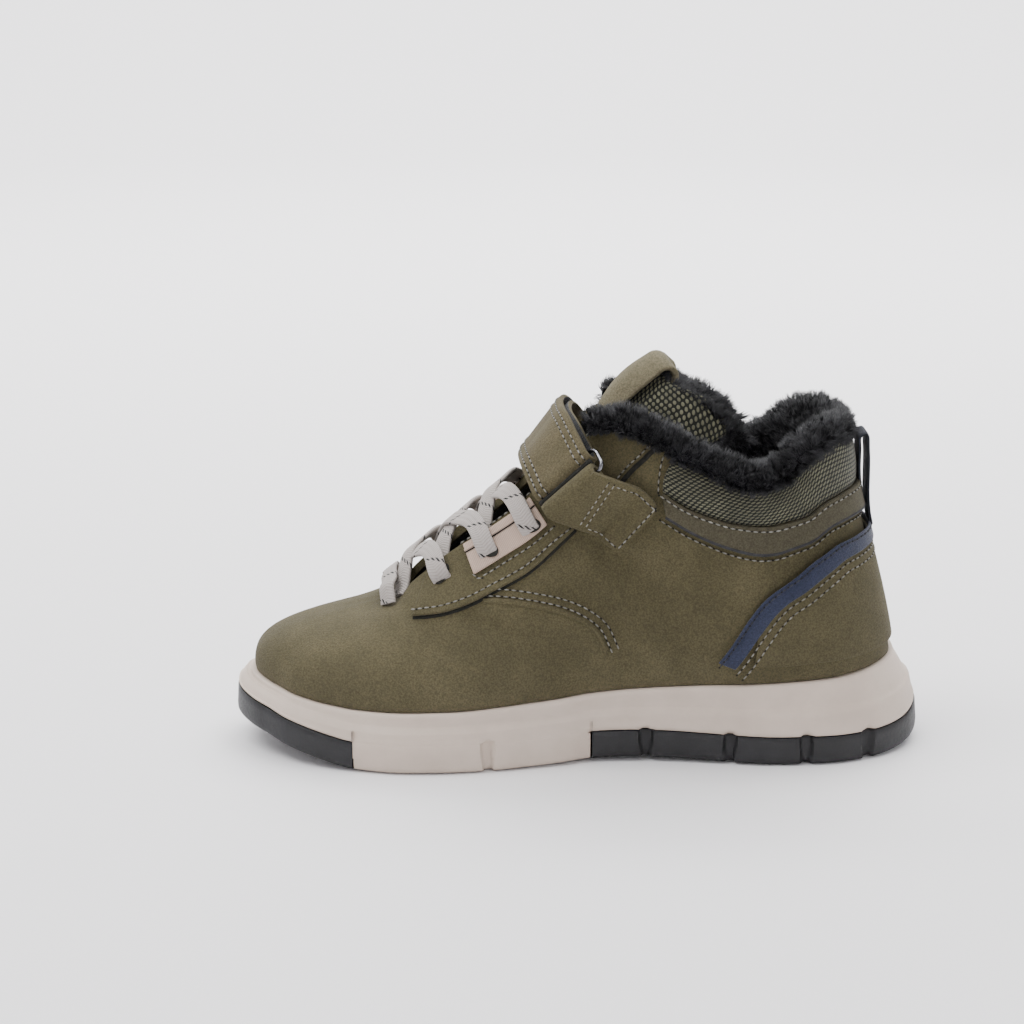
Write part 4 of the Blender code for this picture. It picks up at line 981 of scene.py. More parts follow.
@dataclass(frozen=True)
class LaceWeave:
    """Flat woven lace with rows of slanted dark ticks."""

    name: str
    pale: tuple[float, float, float] = (0.370, 0.335, 0.310)
    tick: tuple[float, float, float] = (0.018, 0.018, 0.019)
    yarn: float = 0.0009
    repeat: float = 0.0125
    mark: float = 0.0017
    phase: float = 0.30

    def material(self) -> bpy.types.Material:
        """Make the finish."""
        shader = Shader(self.name)
        along, across = shader.split()
        chevron = shader.math("ABSOLUTE", shader.math("SUBTRACT", across, 0.0041))
        slanted = shader.math("ADD", along, shader.math("MULTIPLY", chevron, 0.35))
        yarns = shader.math("MULTIPLY", slanted, 2 * math.pi / self.yarn)
        weave = shader.math("MULTIPLY", shader.math("ADD", shader.math("SINE", yarns), 1.0), 0.5)
        ribs = shader.math("SINE", shader.math("MULTIPLY", across, 2 * math.pi / self.mark))
        oblique = shader.math("ADD", along, shader.math("MULTIPLY", across, 0.7))
        cell = shader.math("FRACT", shader.math("ADD", shader.math("DIVIDE", oblique, self.repeat),
                                                self.phase))
        near = shader.math("ABSOLUTE", shader.math("SUBTRACT", cell, 0.5))
        row = shader.math("LESS_THAN", near, 0.050)
        lean = shader.math("ADD", shader.math("DIVIDE", across, self.mark),
                           shader.math("MULTIPLY", shader.math("SUBTRACT", cell, 0.5), 4.0))
        stripe = shader.math("LESS_THAN", shader.math("FRACT", lean), 0.52)
        ticks = shader.math("MULTIPLY", row, stripe)
        tone = shader.mix(weave, tuple(c * 0.86 for c in self.pale), self.pale)
        color = shader.mix(ticks, tone, self.tick)
        height = shader.math("ADD", weave, shader.math("MULTIPLY", ribs, 0.35))
        return shader.finish(color, shader.step(weave, 0, 1, (0.95, 0.8)),
                             shader.bump(height, 0.00013), Specular_IOR_Level=0.2,
                             Sheen_Weight=0.10)


@dataclass(frozen=True)
class Fibre:
    """Hair, thread, lining, piping and painted shade, each with a little change in tone."""

    name: str
    dark: tuple[float, float, float]
    light: tuple[float, float, float]
    cell: float = 0.004
    roughness: float = 0.6
    sheen: float = 0.0
    depth: float = 0.0

    def material(self) -> bpy.types.Material:
        """Make the finish."""
        shader = Shader(self.name)
        clouds = shader.noise(self.cell, 3.0, 0.6)
        fine = shader.noise(self.cell / 9, 2.0)
        color = shader.mix(shader.step(clouds, 0.35, 0.68), self.dark, self.light)
        normal = shader.bump(fine, self.depth) if self.depth else None
        return shader.finish(color, shader.step(fine, 0.3, 0.7, (self.roughness - 0.1,
                                                                  self.roughness + 0.1)),
                             normal, Sheen_Weight=self.sheen, Specular_IOR_Level=0.35)


@dataclass(frozen=True)
class Steel:
    """Bright nickel wire with fine rubbed marks."""

    name: str = "ring_steel"

    def material(self) -> bpy.types.Material:
        """Make the finish."""
        shader = Shader(self.name)
        marks = shader.noise(0.0012, 6.0, 0.7)
        color = shader.mix(shader.step(marks, 0.3, 0.7), (0.22, 0.22, 0.24), (0.13, 0.13, 0.14))
        return shader.finish(color, shader.step(marks, 0.3, 0.75, (0.14, 0.32)),
                             shader.bump(marks, 0.00003), Metallic=1.0)


class Finish(Enum):
    """Finishes of the boot."""

    OLIVE = Nubuck("olive_nubuck", (0.060, 0.052, 0.027), (0.098, 0.084, 0.045))
    STRAP = Nubuck("strap_nubuck", (0.070, 0.059, 0.031), (0.110, 0.092, 0.052))
    TAB = Nubuck("tab_suede", (0.132, 0.116, 0.072), (0.176, 0.155, 0.100))
    BAND = Nubuck("band_nubuck", (0.054, 0.048, 0.031), (0.080, 0.072, 0.047))
    NAVY = Nubuck("navy_suede", (0.018, 0.022, 0.044), (0.030, 0.036, 0.066), sheen=0.2)
    BEIGE = Rubber("beige_rubber", (0.560, 0.470, 0.395), (0.500, 0.415, 0.345), 0.62,
                   0.0022, 0.00005)
    BLACK = Rubber("black_rubber", (0.008, 0.008, 0.009), (0.013, 0.013, 0.015), 0.50,
                   0.0016, 0.00006, dust=0.015)
    PATCH = Rubber("patch_rubber", (0.016, 0.016, 0.018), (0.024, 0.024, 0.026), 0.45,
                   0.0020, 0.00002, dust=0.0)
    MESH = Mesh("coarse_mesh")
    INSERT = Ribbed("ribbed_insert", (0.480, 0.360, 0.290), (0.370, 0.270, 0.215), 0.00055,
                    depth=0.00010)
    SIDE = Ribbed("ribbed_side", (0.078, 0.077, 0.082), (0.018, 0.018, 0.020), 0.00115,
                  wave=0.00022, depth=0.0005)
    WEBBING = Ribbed("loop_webbing", (0.030, 0.032, 0.044), (0.010, 0.010, 0.013), 0.0009,
                     across_map=True, depth=0.0003, roughness=0.85)
    LACE = LaceWeave("lace_weave")
    FUR = Fibre("black_fur", (0.009, 0.009, 0.010), (0.034, 0.034, 0.037), 0.006, 0.50)
    FUR_BASE = Fibre("fur_skin", (0.005, 0.005, 0.006), (0.012, 0.012, 0.014), 0.003, 0.9,
                     0.05, 0.0006)
    LINING = Fibre("pile_lining", (0.008, 0.008, 0.009), (0.024, 0.024, 0.026), 0.0025, 0.9,
                   0.15, 0.0008)
    THREAD = Fibre("olive_thread", (0.150, 0.144, 0.124), (0.250, 0.242, 0.214), 0.002, 0.75)
    DARK_THREAD = Fibre("dark_thread", (0.014, 0.015, 0.020), (0.036, 0.038, 0.046), 0.002, 0.75)
    # Painted shade: dark colour for the needle holes, the lace holes, the strips along panel edges
    # and the bar by the ring.
    GROOVE = Fibre("seam_shadow", (0.008, 0.008, 0.006), (0.014, 0.013, 0.010), 0.002, 0.95)
    # Dark grey of the side panel's piping; the same colour is painted shade in the cord under the
    # collar band.
    PIPING = Fibre("grey_piping", (0.014, 0.014, 0.015), (0.026, 0.026, 0.028), 0.003, 0.75,
                   0.0, 0.0002)
    STEEL = Steel()

    @cached_property
    def made(self) -> bpy.types.Material:
        """The material, made once."""
        return self.value.material()


def dress(piece: Piece, finish: Finish, slot: str = "", stands_for: Sequence[str] = ()) -> Piece:
    """Give a piece its finish and its place in the frame.

    Args:
        piece: The piece.
        finish: Its finish.
        slot: Not used.
        stands_for: Nodes that the piece takes the place of.

    Returns:
        The piece.
    """
    piece.data.materials.clear()
    piece.data.materials.append(finish.made)
    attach(piece, "root")
    if stands_for:
        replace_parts(piece, *stands_for)
    return piece


def stitch_template(length: float, width: float) -> Piece:
    """One stitch: a small rounded bead, longer than wide."""
    deselect()
    bpy.ops.mesh.primitive_uv_sphere_add(segments=6, ring_count=4, radius=0.5)
    bead = bpy.context.object
    set_points(bead.data, corner_points(bead.data) * (length, width, width))
    return bead


@dataclass
class Stitching:
    """Row of stitches along a seam, with dark beads of painted shade in the needle holes between
    them.
    """

    name: str
    pitch: float = 0.0024
    length: float = 0.0017
    width: float = 0.00056
    # Length of the dark beads of painted shade in the needle holes.
    hole: float = 0.0008
    finish: Finish = Finish.THREAD

    def row(self, seam: Seam, height: float, aside: float = 0.0,
            ends: tuple[float, float] = (0.0, 1.0)) -> Array:
        """Frames of one row of stitches on a seam."""
        points, ahead, outs = seam.walk(self.pitch, height, aside, ends)
        return frames_of(points, ahead, outs)

    def build(self, rows: Sequence[Array], slot: str) -> Piece:
        """Join all rows of one kind in a piece.

        Args:
            rows: Frames of each row.
            slot: Name passed on to dress.

        Returns:
            The joined stitches.
        """
        frames = np.concatenate(rows)
        piece = copies(self.name, stitch_template(self.length, self.width), frames)
        # Dark beads between the stitches: painted shade in the needle holes.
        pits = frames.copy()
        pits[:, :, 3] += frames[:, :, 0] * self.pitch / 2 - frames[:, :, 2] * 0.00008
        pits = copies(self.name + "_holes", stitch_template(self.hole, self.width * 1.1), pits)
        dress(pits, Finish.GROOVE, slot)
        return dress(piece, self.finish, slot)


def to_lines(points: Array, path: Array) -> Array:
    """Distance from points to a line through a few places.

    Args:
        points: Points in two or three dimensions.
        path: Places of the line.

    Returns:
        One distance for each point.
    """
    best = np.full(len(points), np.inf)
    for a, b in zip(path[:-1], path[1:]):
        way = b - a
        share = np.clip((points - a) @ way / max(way @ way, 1e-12), 0, 1)
        best = np.minimum(best, np.linalg.norm(points - a - share[:, None] * way, axis=1))
    return best


@dataclass(frozen=True)
class Crease:
    """Soft trough or ridge in the upper, by points of the side view in millimetres."""

    points: Pairs
    side: Side
    depth: float
    width: float


# Creases, in millimetres along and up, with their depth and half width
CREASES = (
    Crease(((-62, 52), (-52, 47), (-44, 38)), Side.MEDIAL, 0.75, 3.4),
    Crease(((-34, 47), (-22, 43), (-12, 35)), Side.MEDIAL, 1.35, 3.8),
    Crease(((-26, 52), (-14, 50), (-2, 42), (4, 33)), Side.MEDIAL, -1.05, 4.2),
    Crease(((-10, 57), (4, 52), (14, 43)), Side.MEDIAL, 1.65, 4.2),
    Crease(((6, 70), (18, 62), (24, 52)), Side.MEDIAL, 1.2, 3.8),
    Crease(((22, 72), (30, 62), (33, 48)), Side.MEDIAL, -1.05, 5.1),
    Crease(((40, 66), (47, 55), (49, 42)), Side.MEDIAL, 1.05, 4.7),
    Crease(((60, 52), (64, 44), (66, 36)), Side.MEDIAL, 0.75, 4.2),
    Crease(((-60, 50), (-50, 46), (-42, 37)), Side.LATERAL, 0.9, 3.4),
    Crease(((-32, 48), (-20, 43), (-10, 35)), Side.LATERAL, 1.35, 3.8),
    Crease(((-8, 58), (6, 50), (12, 42)), Side.LATERAL, 1.2, 4.2),
    Crease(((40, 66), (47, 55), (49, 42)), Side.LATERAL, 0.9, 4.7),
    Crease(((13, 67), (25, 65.5), (38, 69)), Side.MEDIAL, 0.7, 2.6),
    Crease(((-26, 60), (-12, 66), (0, 76)), Side.MEDIAL, 0.5, 2.6),
)


def relief(points: Array) -> Array:
    """Height of the upper's creases at points on it."""
    flat = points.reshape(-1, 3)
    height = np.zeros(len(flat))
    for path, crease in crease_paths():
        near = to_lines(flat, path) / (crease.width * MM)
        height -= crease.depth * MM * np.exp(-near ** 2)
    return height.reshape(points.shape[:-1])


@cache
def crease_paths() -> list[tuple[Array, Crease]]:
    """Every crease with its points on the upper, worked out once."""
    paths = []
    for crease in CREASES:
        places = Seam.through(crease.points, crease.side).at(np.linspace(0, 1, 9))
        paths.append((LAST.point(places[:, 0], places[:, 1]), crease))
    return paths


def skin(v: Array, t: Array, height: Array) -> Array:
    """Point over the creased upper at a height."""
    points = LAST.point(v, t)
    return points + LAST.normal(v, t) * (relief(points) + height)[..., None]


# Grooves that the solids carry: along and out, as shares of the sole
CROSS_GROOVES = (
    ((0.615, 1.1), (0.613, 0.5), (0.600, 0.0), (0.596, -0.5), (0.590, -1.1)),
    ((0.735, 1.1), (0.733, 0.5), (0.726, 0.0), (0.718, -0.5), (0.706, -1.1)),
    ((0.846, 1.1), (0.842, 0.5), (0.834, 0.0), (0.826, -0.5), (0.816, -1.1)),
    ((0.936, 1.1), (0.926, 0.5), (0.918, 0.0), (0.914, -0.5), (0.908, -1.1)),
)
HEEL_LINE = ((0.614, -0.06), (0.667, 0.08), (0.726, 0.11), (0.820, 0.08), (0.866, -0.06),
             (0.930, -0.20), (1.01, -0.32))
FORE_CROSS = ((0.394, 1.1), (0.404, 0.70), (0.401, 0.35), (0.392, -0.10), (0.380, -0.60),
              (0.366, -1.1))
FORE_LONG = ((0.190, -0.18), (0.253, -0.32), (0.312, -0.37), (0.372, -0.36), (0.431, -0.27),
             (0.490, -0.20), (0.530, -0.16))
FORE_OUTER = ((0.205, 0.50), (0.390, 0.53), (0.405, 0.52), (0.490, 0.50), (0.545, 0.46))
FORE_MIDDLE = ((0.205, 0.10), (0.254, 0.02), (0.301, -0.05), (0.372, -0.06), (0.431, -0.01),
               (0.467, 0.02), (0.545, 0.12))
FORE_INNER = ((0.185, -0.66), (0.254, -0.69), (0.325, -0.72), (0.372, -0.72), (0.419, -0.66),
              (0.467, -0.60), (0.525, -0.50))
TOE_SPLIT = ((-0.02, 0.62), (0.040, 0.38), (0.112, 0.10), (0.190, -0.11), (0.240, -0.14))
TOE_CUTS = (
    ((0.135, 1.0), (0.138, 0.60), (0.135, 0.10)),
    ((0.030, 0.45), (0.100, -0.10), (0.148, -0.34), (0.200, -0.42)),
    ((0.094, -0.03), (0.085, -0.50), (0.080, -1.0)),
)
# Fine grooves of the forefoot and the heel, in millimetres along and out
BONES = (
    ((-53.5, 38.2), (-55.6, 12), (-58.3, -12.8), (-61, -43.2)),
    ((-43.1, 40), (-45.5, 12.5), (-47.6, -15.1), (-50.3, -44.1)),
    ((-32.2, 40.5), (-34.3, 12.9), (-37, -14.7), (-39.6, -43.6)),
    ((-11.6, 38.6), (-12.9, 13.9), (-15.6, -13.7), (-18, -38.6)),
    ((-0.4, 37.7), (-1.7, 14.3), (-3.9, -10.5), (-6.5, -35.3)),
)
HEEL_FINE = (
    ((26.5, 16.4), (51.1, 19.4), (77.8, 18.3), (99.1, 11.3)),
    ((24.4, -12), (51.1, -9.5), (75.1, -9.3), (95.1, -12.3)),
    ((23.1, -23.6), (48.4, -24.7), (72.4, -25.9), (91.1, -22.9)),
    ((39.1, 32.6), (38.3, 2.3)), ((65.8, 33.2), (64.7, 3.5)), ((89.8, 30.6), (88.4, 1.7)),
    ((37.2, 0.1), (35.1, -34.9)), ((63.6, 2), (61.2, -36)), ((87.9, 0.3), (85.2, -34.1)),
    ((14.3, 15), (23.6, 14.2), (22.0, -12.8), (9.7, -12.6), (14.3, 15)),
    ((7.1, -18.3), (19.7, -18.7), (17.6, -32.2), (5.2, -31.6), (7.1, -18.3)),
)
TOE_FINE = (
    ((-91.1, 27), (-91.4, 13.2), (-89.8, 5.6)), ((-78.8, 35.2), (-79.1, 22), (-79.6, 2.7)),
    ((-103.7, 9.9), (-93, 13.2), (-78.3, 19.8), (-65.8, 23.9)),
    ((-105.8, -2.5), (-99.7, -9.1), (-93, -12.1), (-86.3, -19), (-78.3, -22.5), (-66, -24.4)),
    ((-104.5, 9.9), (-104.2, -6.6)), ((-81, -11.1), (-82.3, -38.6)),
)


@dataclass(frozen=True)
class Groove:
    """Groove in the tread along a path on the ground, in metres."""

    path: Array
    width: float
    depth: float

    @classmethod
    def shares(cls, path: Pairs, width: float, depth: float) -> "Groove":
        """Groove through shares of the sole's length and half width."""
        shift = (SOLE_ROWS[:, 3].max() - SOLE_ROWS[:, 1].max()) * LAST.half / 2
        size = (LAST.sole_length, LAST.half)
        return cls(np.array(path) * size + (-LAST.sole_length / 2, shift), width, depth)

    @classmethod
    def millimetres(cls, path: Pairs, width: float, depth: float) -> "Groove":
        """Groove through points in millimetres."""
        return cls(along_rows(path, np.linspace(0, 1, 4 * len(path) - 3)) * MM, width, depth)

    def height(self, points: Array) -> Array:
        """How far the groove goes up into the tread at points on the ground."""
        edge = 0.45 * MM
        near = to_lines(points, self.path)
        return self.depth * ease((self.width / 2 + edge - near) / (2 * edge))


@dataclass
class SoleUnit:
    """Beige sole unit with black pads under the toe and the heel."""

    tread_base: float = 0.0040
    tread_wrap: float = 0.0090
    tread_lip: float = 0.0023
    bevel: float = 0.0020
    groove_width: float = 0.0026
    groove_depth: float = 0.0026
    fore_depth: float = 0.0044
    notch_deep: float = 0.0018
    notch_rise: float = 0.0026
    gap: float = 0.0003
    bulge: float = 0.0026
    bone_width: float = 0.0018
    bone_depth: float = 0.0015
    fine_width: float = 0.0011
    fine_depth: float = 0.0009

    def deep_lines(self) -> list[Groove]:
        """Grooves that run out of the sole's side."""
        return [Groove.shares(path, self.groove_width, self.groove_depth)
                for path in CROSS_GROOVES] + \
            [Groove.shares(FORE_CROSS, self.groove_width, self.fore_depth)]

    def grooves(self) -> list[Groove]:
        """Every groove of the tread."""
        lines = self.deep_lines()
        lines.append(Groove.shares(HEEL_LINE, self.groove_width, self.groove_depth))
        for path in (FORE_LONG, FORE_OUTER, FORE_MIDDLE, FORE_INNER):
            lines.append(Groove.shares(path, self.groove_width * 0.8, self.groove_depth))
        lines.append(Groove.shares(TOE_SPLIT, self.groove_width * 1.15, self.tread_base))
        for path in TOE_CUTS:
            lines.append(Groove.shares(path, self.groove_width * 0.7, self.groove_depth))
        for path in BONES:
            lines.append(Groove.millimetres(path, self.bone_width, self.bone_depth))
        for path in HEEL_FINE + TOE_FINE:
            lines.append(Groove.millimetres(path, self.fine_width, self.fine_depth))
        return lines

    @cached_property
    def round_marks(self) -> Array:
        """Centres of the round bulges where fine grooves cross the long lines."""
        centres = []
        for path in BONES:
            bone = along_rows(path, np.linspace(0, 1, 200)) * MM
            for line in (FORE_LONG, FORE_OUTER, FORE_MIDDLE, FORE_INNER):
                near = to_lines(bone, Groove.shares(line, 0, 0).path)
                centres.append(bone[np.argmin(near)])
        return np.array(centres)

    def carved(self, points: Array) -> Array:
        """Rise of the tread's surface over its lowest face.

        Args:
            points: Points on the ground.

        Returns:
            One rise for each point.
        """
        rise = np.max([groove.height(points) for groove in self.lines], axis=0)
        marks = np.min(np.linalg.norm(points[:, None] - self.round_marks[None], axis=2), axis=1)
        mark = self.bone_depth * ease((self.bulge - marks) / self.fine_depth + 0.5)
        return np.maximum(rise, mark)

    @cached_property
    def lines(self) -> list[Groove]:
        """Grooves, worked out once."""
        return self.grooves()

    def notch(self, points: Array, height: Array) -> Array:
        """How far a groove's end bites into the side.

        Args:
            points: Points of the side.
            height: Their height over the tread.

        Returns:
            One depth for each point.
        """
        near = np.min([to_lines(points[:, :2], groove.path) for groove in self.deep_lines()], axis=0)
        rise = self.tread_wrap + self.notch_rise
        above = np.clip((rise - height) / self.notch_rise, 0, 1)
        spread = (0.70 + 0.25 * ease(height / self.tread_wrap)) * above
        bite = ease((self.groove_width * spread - near) / (0.8 * MM))
        return self.notch_deep * bite * ease((rise - height) / (2.5 * MM))

    def side_point(self, v: Array, inset: Array, z: Array) -> Array:
        """Point of the sole's side with the notches of the grooves in it."""
        lift = cyclic(LAST.lifts, v)[:, 0]
        plain = LAST.ring(v, inset, z)
        return LAST.ring(v, inset + self.notch(plain, z - lift), z)

    def tread_section(self, row: Array, share: Array, wall: float) -> Array:
        """Point of a pad's outer face, from its lateral lip under it to the medial one.

        Args:
            row: Row along the sole.
            share: Place on the section from 0 to 1.
            wall: Part of the section that each side takes.

        Returns:
            One point for each pair.
        """
        lateral = share < 0.5
        v = np.where(lateral, row, LOOP_ROWS - row)
        lift = cyclic(LAST.lifts, v)[:, 0]
        flare = cyclic(LAST.flares, v)[:, 0]
        side = np.minimum(share, 1 - share) / wall
        stations = (0.0, 0.25, 0.32, 0.70, 0.775, 0.85, 0.925, 1.0)
        turn = np.array((0.0, 0.3827, 0.7071, 0.9239, 1.0))
        insets = np.stack([self.tread_lip - self.gap + 0 * flare, flare * 0.06 + 0.0004,
                           flare * 0.06] + [self.bevel * (1 - np.cos(a)) + 0 * flare
                                            for a in np.arcsin(turn)], axis=1)
        rises = [self.tread_wrap, self.tread_wrap, self.tread_wrap - 0.0004]
        rises += [self.bevel * (1 - a) for a in turn]
        inset = np.array([np.interp(s, stations, row_) for s, row_ in zip(side, insets)])
        rise = np.interp(side, stations, rises)
        low = np.minimum(side, 1.0) >= 1.0
        points = self.side_point(v, inset, lift + rise)
        across = np.clip((share - wall) / (1 - 2 * wall), 0, 1)[:, None]
        ends = [LAST.ring(w, np.full(len(row), self.bevel), lift) for w in (row, LOOP_ROWS - row)]
        under = ends[0] * (1 - across) + ends[1] * across
        under[:, 2] += self.carved(under[:, :2])
        return np.where(low[:, None], under, points)

    def pad(self, name: str, rows: tuple[float, float], spans: tuple[int, int]) -> Piece:
        """Tread pad between two rows of the sole, its cut ends closed by walls."""
        wall = 12 / spans[1]

        def place(u: Array, v: Array) -> Array:
            """Point of the pad; the outermost columns are its end walls."""
            edge = 1.5 / spans[0]
            inner = np.clip((u - edge) / (1 - 2 * edge), 0, 1)
            points = self.tread_section(rows[0] + (rows[1] - rows[0]) * inner, v, wall)
            ends = ((u < edge / 2) & (rows[0] > 0)) | ((u > 1 - edge / 2) & (rows[1] < LAST_ROW))
            points[:, 2] += np.where(ends, self.tread_base, 0)
            return points

        return Sheet(name, spans, place, closed=True, turned=True).build()

    def shell_point(self, v: Array, share: Array) -> Array:
        """Point of the unit's side, from the seat of the upper down to the pads."""
        row = np.minimum(v % LOOP_ROWS, LOOP_ROWS - v % LOOP_ROWS)
        lift, top, flare = (cyclic(part, v)[:, 0] for part in (LAST.lifts, LAST.tops, LAST.flares))
        wrap = lift + self.tread_wrap
        middle = wrap + (top - wrap) * 0.45
        black = (row < TOE_EDGE_ROW) | (row > HEEL_EDGE_ROW)
        sides = (
            (flare + 0.0060, top - 0.0002), (flare + 0.0001, top), (flare - 0.0004, top - 0.0001),
            (flare - 0.0009, top - 0.0005), (flare - 0.0011, top - 0.0014),
            (flare * 0.66 + 0.0001, (middle + top) / 2), (flare * 0.42 + 0.0007, middle + 0.0017),
            (flare * 0.42 + 0.0002, middle + 0.0010), (flare * 0.30 + 0.0002, middle + 0.0003),
            (flare * 0.30 - 0.0002, middle - 0.0006),
            (flare * 0.20, (middle + wrap) / 2),
            (flare * 0.10, wrap + 0.0012),
            (np.where(black, flare * 0.10 + 0.0004, flare * 0.08), wrap + 0.0004),
            (np.where(black, self.tread_lip, flare * 0.04), wrap + 0.0001),
            (np.where(black, self.tread_lip + 0.001, 0.0), np.where(black, wrap, lift + 0.004)),
        )
        inset = np.array([np.broadcast_to(a, v.shape) for a, _ in sides])
        height = np.array([np.broadcast_to(b, v.shape) for _, b in sides])
        x = share * (len(sides) - 1)
        i = np.minimum(np.floor(x).astype(int), len(sides) - 2)
        f = x - i
        at = np.arange(len(v))
        inset = inset[i, at] * (1 - f) + inset[i + 1, at] * f
        height = height[i, at] * (1 - f) + height[i + 1, at] * f
        return self.side_point(v, inset, height)

    def shell(self) -> Piece:
        """Side of the sole unit, all round."""
        loop = Sheet("sole_side", (LOOP_ROWS * 9, 14 * 3),
                     lambda u, s: self.shell_point(u * LOOP_ROWS, s), closed=True)
        return loop.build()

    def build(self) -> None:
        """Model and dress the whole sole."""
        shift = 0.03
        side = self.shell()
        fore = self.pad("sole_forefoot", (TOE_EDGE_ROW + shift, HEEL_EDGE_ROW - shift), (140, 160))
        dress(join("sole_unit", [side, fore]), Finish.BEIGE, "sole_beige", ["midsole"])
        heel = self.pad("heel_pad", (HEEL_EDGE_ROW + shift, LAST_ROW), (190, 130))
        dress(heel, Finish.BLACK, "sole_black", ["heel_tread"])
        toe = self.pad("toe_pads", (0, TOE_EDGE_ROW - shift), (120, 150))
        dress(toe, Finish.BLACK, "sole_black", ["toe_tread_outer", "toe_tread_inner"])
        self.show_split(toe)

    def show_split(self, toe: Piece) -> None:
        """Give the floor between the two toe pods the unit's own rubber."""
        toe.data.materials.append(Finish.BEIGE.made)
        path = Groove.shares(TOE_SPLIT, 0, 0).path
        count = len(toe.data.polygons)
        centres = np.empty(3 * count)
        toe.data.polygons.foreach_get("center", centres)
        centres = centres.reshape(-1, 3)
        near = to_lines(centres[:, :2], path) < self.groove_width * 0.55
        ground = LAST.toe_spring * np.interp(centres[:, 0] / LAST.sole_length + 0.5,
                                             SOLE_ROWS[:, 0], SOLE_ROWS[:, 4])
        deep = near & (centres[:, 2] > ground + self.tread_base * 0.8)
        toe.data.polygons.foreach_set("material_index", deep.astype(np.int32))


def in_mm(rows: Sequence[Sequence[float]], column: int) -> list[tuple[float, float]]:
    """Two columns of a panel's table as points of the side view in millimetres."""
    length, rise = LAST.sole_length / MM, LAST.upper_rise / MM
    base = LAST.sole_stack / MM
    return [(row[column] * length - length / 2, base + row[column + 1] * rise) for row in rows]


# Panel edges as along and rise, low edge then high edge, from front to back
BAND_ROWS = (
    (0.619, 0.636, 0.613, 0.730), (0.651, 0.584, 0.640, 0.682), (0.693, 0.531, 0.676, 0.640),
    (0.729, 0.499, 0.720, 0.606), (0.751, 0.489, 0.752, 0.598), (0.791, 0.506, 0.789, 0.612),
    (0.826, 0.539, 0.822, 0.640), (0.860, 0.589, 0.853, 0.685),
)
BAND_BACK = (78.0, 86.8)
COUNTER_ROWS = (
    (0.745, 0.030, 0.745, 0.250), (0.790, 0.030, 0.772, 0.330), (0.830, 0.040, 0.810, 0.400),
    (0.870, 0.045, 0.848, 0.462), (0.905, 0.050, 0.880, 0.498),
)
COUNTER_BACK = (34.8, 70.4)
EYESTAY_ROWS = (
    (0.262, 0.210, 0.285, 0.352), (0.300, 0.225, 0.312, 0.415), (0.340, 0.262, 0.345, 0.480),
    (0.380, 0.318, 0.378, 0.546), (0.420, 0.380, 0.408, 0.612), (0.455, 0.460, 0.436, 0.690),
    (0.492, 0.562, 0.474, 0.690),
)
PLATE_ROWS = (
    (0.352, 0.362, 0.338, 0.458), (0.390, 0.430, 0.373, 0.526), (0.423, 0.492, 0.403, 0.590),
    (0.456, 0.572, 0.433, 0.668),
)
SIDE_PANEL_ROWS = (
    (0.552, 0.030, 0.508, 0.220), (0.592, 0.025, 0.552, 0.285), (0.630, 0.022, 0.612, 0.302),
    (0.668, 0.022, 0.680, 0.285), (0.705, 0.022, 0.745, 0.250),
)
SIDE_EDGE = ((0.552, 0.030), (0.522, 0.125), (0.510, 0.215), (0.555, 0.288), (0.612, 0.304),
             (0.680, 0.287), (0.745, 0.252))
# Navy stripe over the counter: its edges in millimetres
STRIPE_LOW = ((49.5, 31.5), (57.8, 44.3), (66.6, 54.0), (77.0, 61.0), (87.5, 66.0))
STRIPE_HIGH = ((44.2, 33.5), (53.6, 48.6), (62.8, 58.3), (73.0, 65.8), (84.6, 71.0))
STRIPE_BACK = (67.6, 72.4)


@dataclass
class Panel:
    """Overlay sewn on the upper between a low and a high seam."""

    name: str
    low: Seam
    high: Seam
    spans: tuple[int, int]
    finish: Finish
    slot: str
    base: float = 0.00045
    thick: float = 0.0012
    puff: float = 0.0
    stands_for: tuple[str, ...] = ()

    def place(self, u: Array, v: Array) -> Array:
        """Point of the panel's outer face."""
        low, high = self.low.at(u), self.high.at(u)
        places = low * (1 - v[:, None]) + high * v[:, None]
        swell = self.puff * np.sin(math.pi * np.clip(v, 0, 1)) ** 0.6
        return skin(places[:, 0], places[:, 1], self.base + self.thick + swell)

    def build(self) -> Piece:
        """Model and dress the panel."""
        middle = self.place(np.array([0.49, 0.51, 0.49]), np.array([0.49, 0.49, 0.51]))
        face = np.cross(middle[1] - middle[0], middle[2] - middle[0])
        place = (self.low.at(np.array([0.5])) + self.high.at(np.array([0.5]))) / 2
        turned = bool(face @ LAST.normal(place[:, 0], place[:, 1])[0] < 0)
        piece = Sheet(self.name, self.spans, self.place, thick=self.thick,
                      bevel=min(0.0004, self.thick * 0.4), turned=turned).build()
        return dress(piece, self.finish, self.slot, self.stands_for)

    def inside(self, share: float) -> Seam:
        """Line inside the panel at a share of the way up."""
        u = np.linspace(0, 1, 24)
        return Seam(self.low.at(u) * (1 - share) + self.high.at(u) * share)


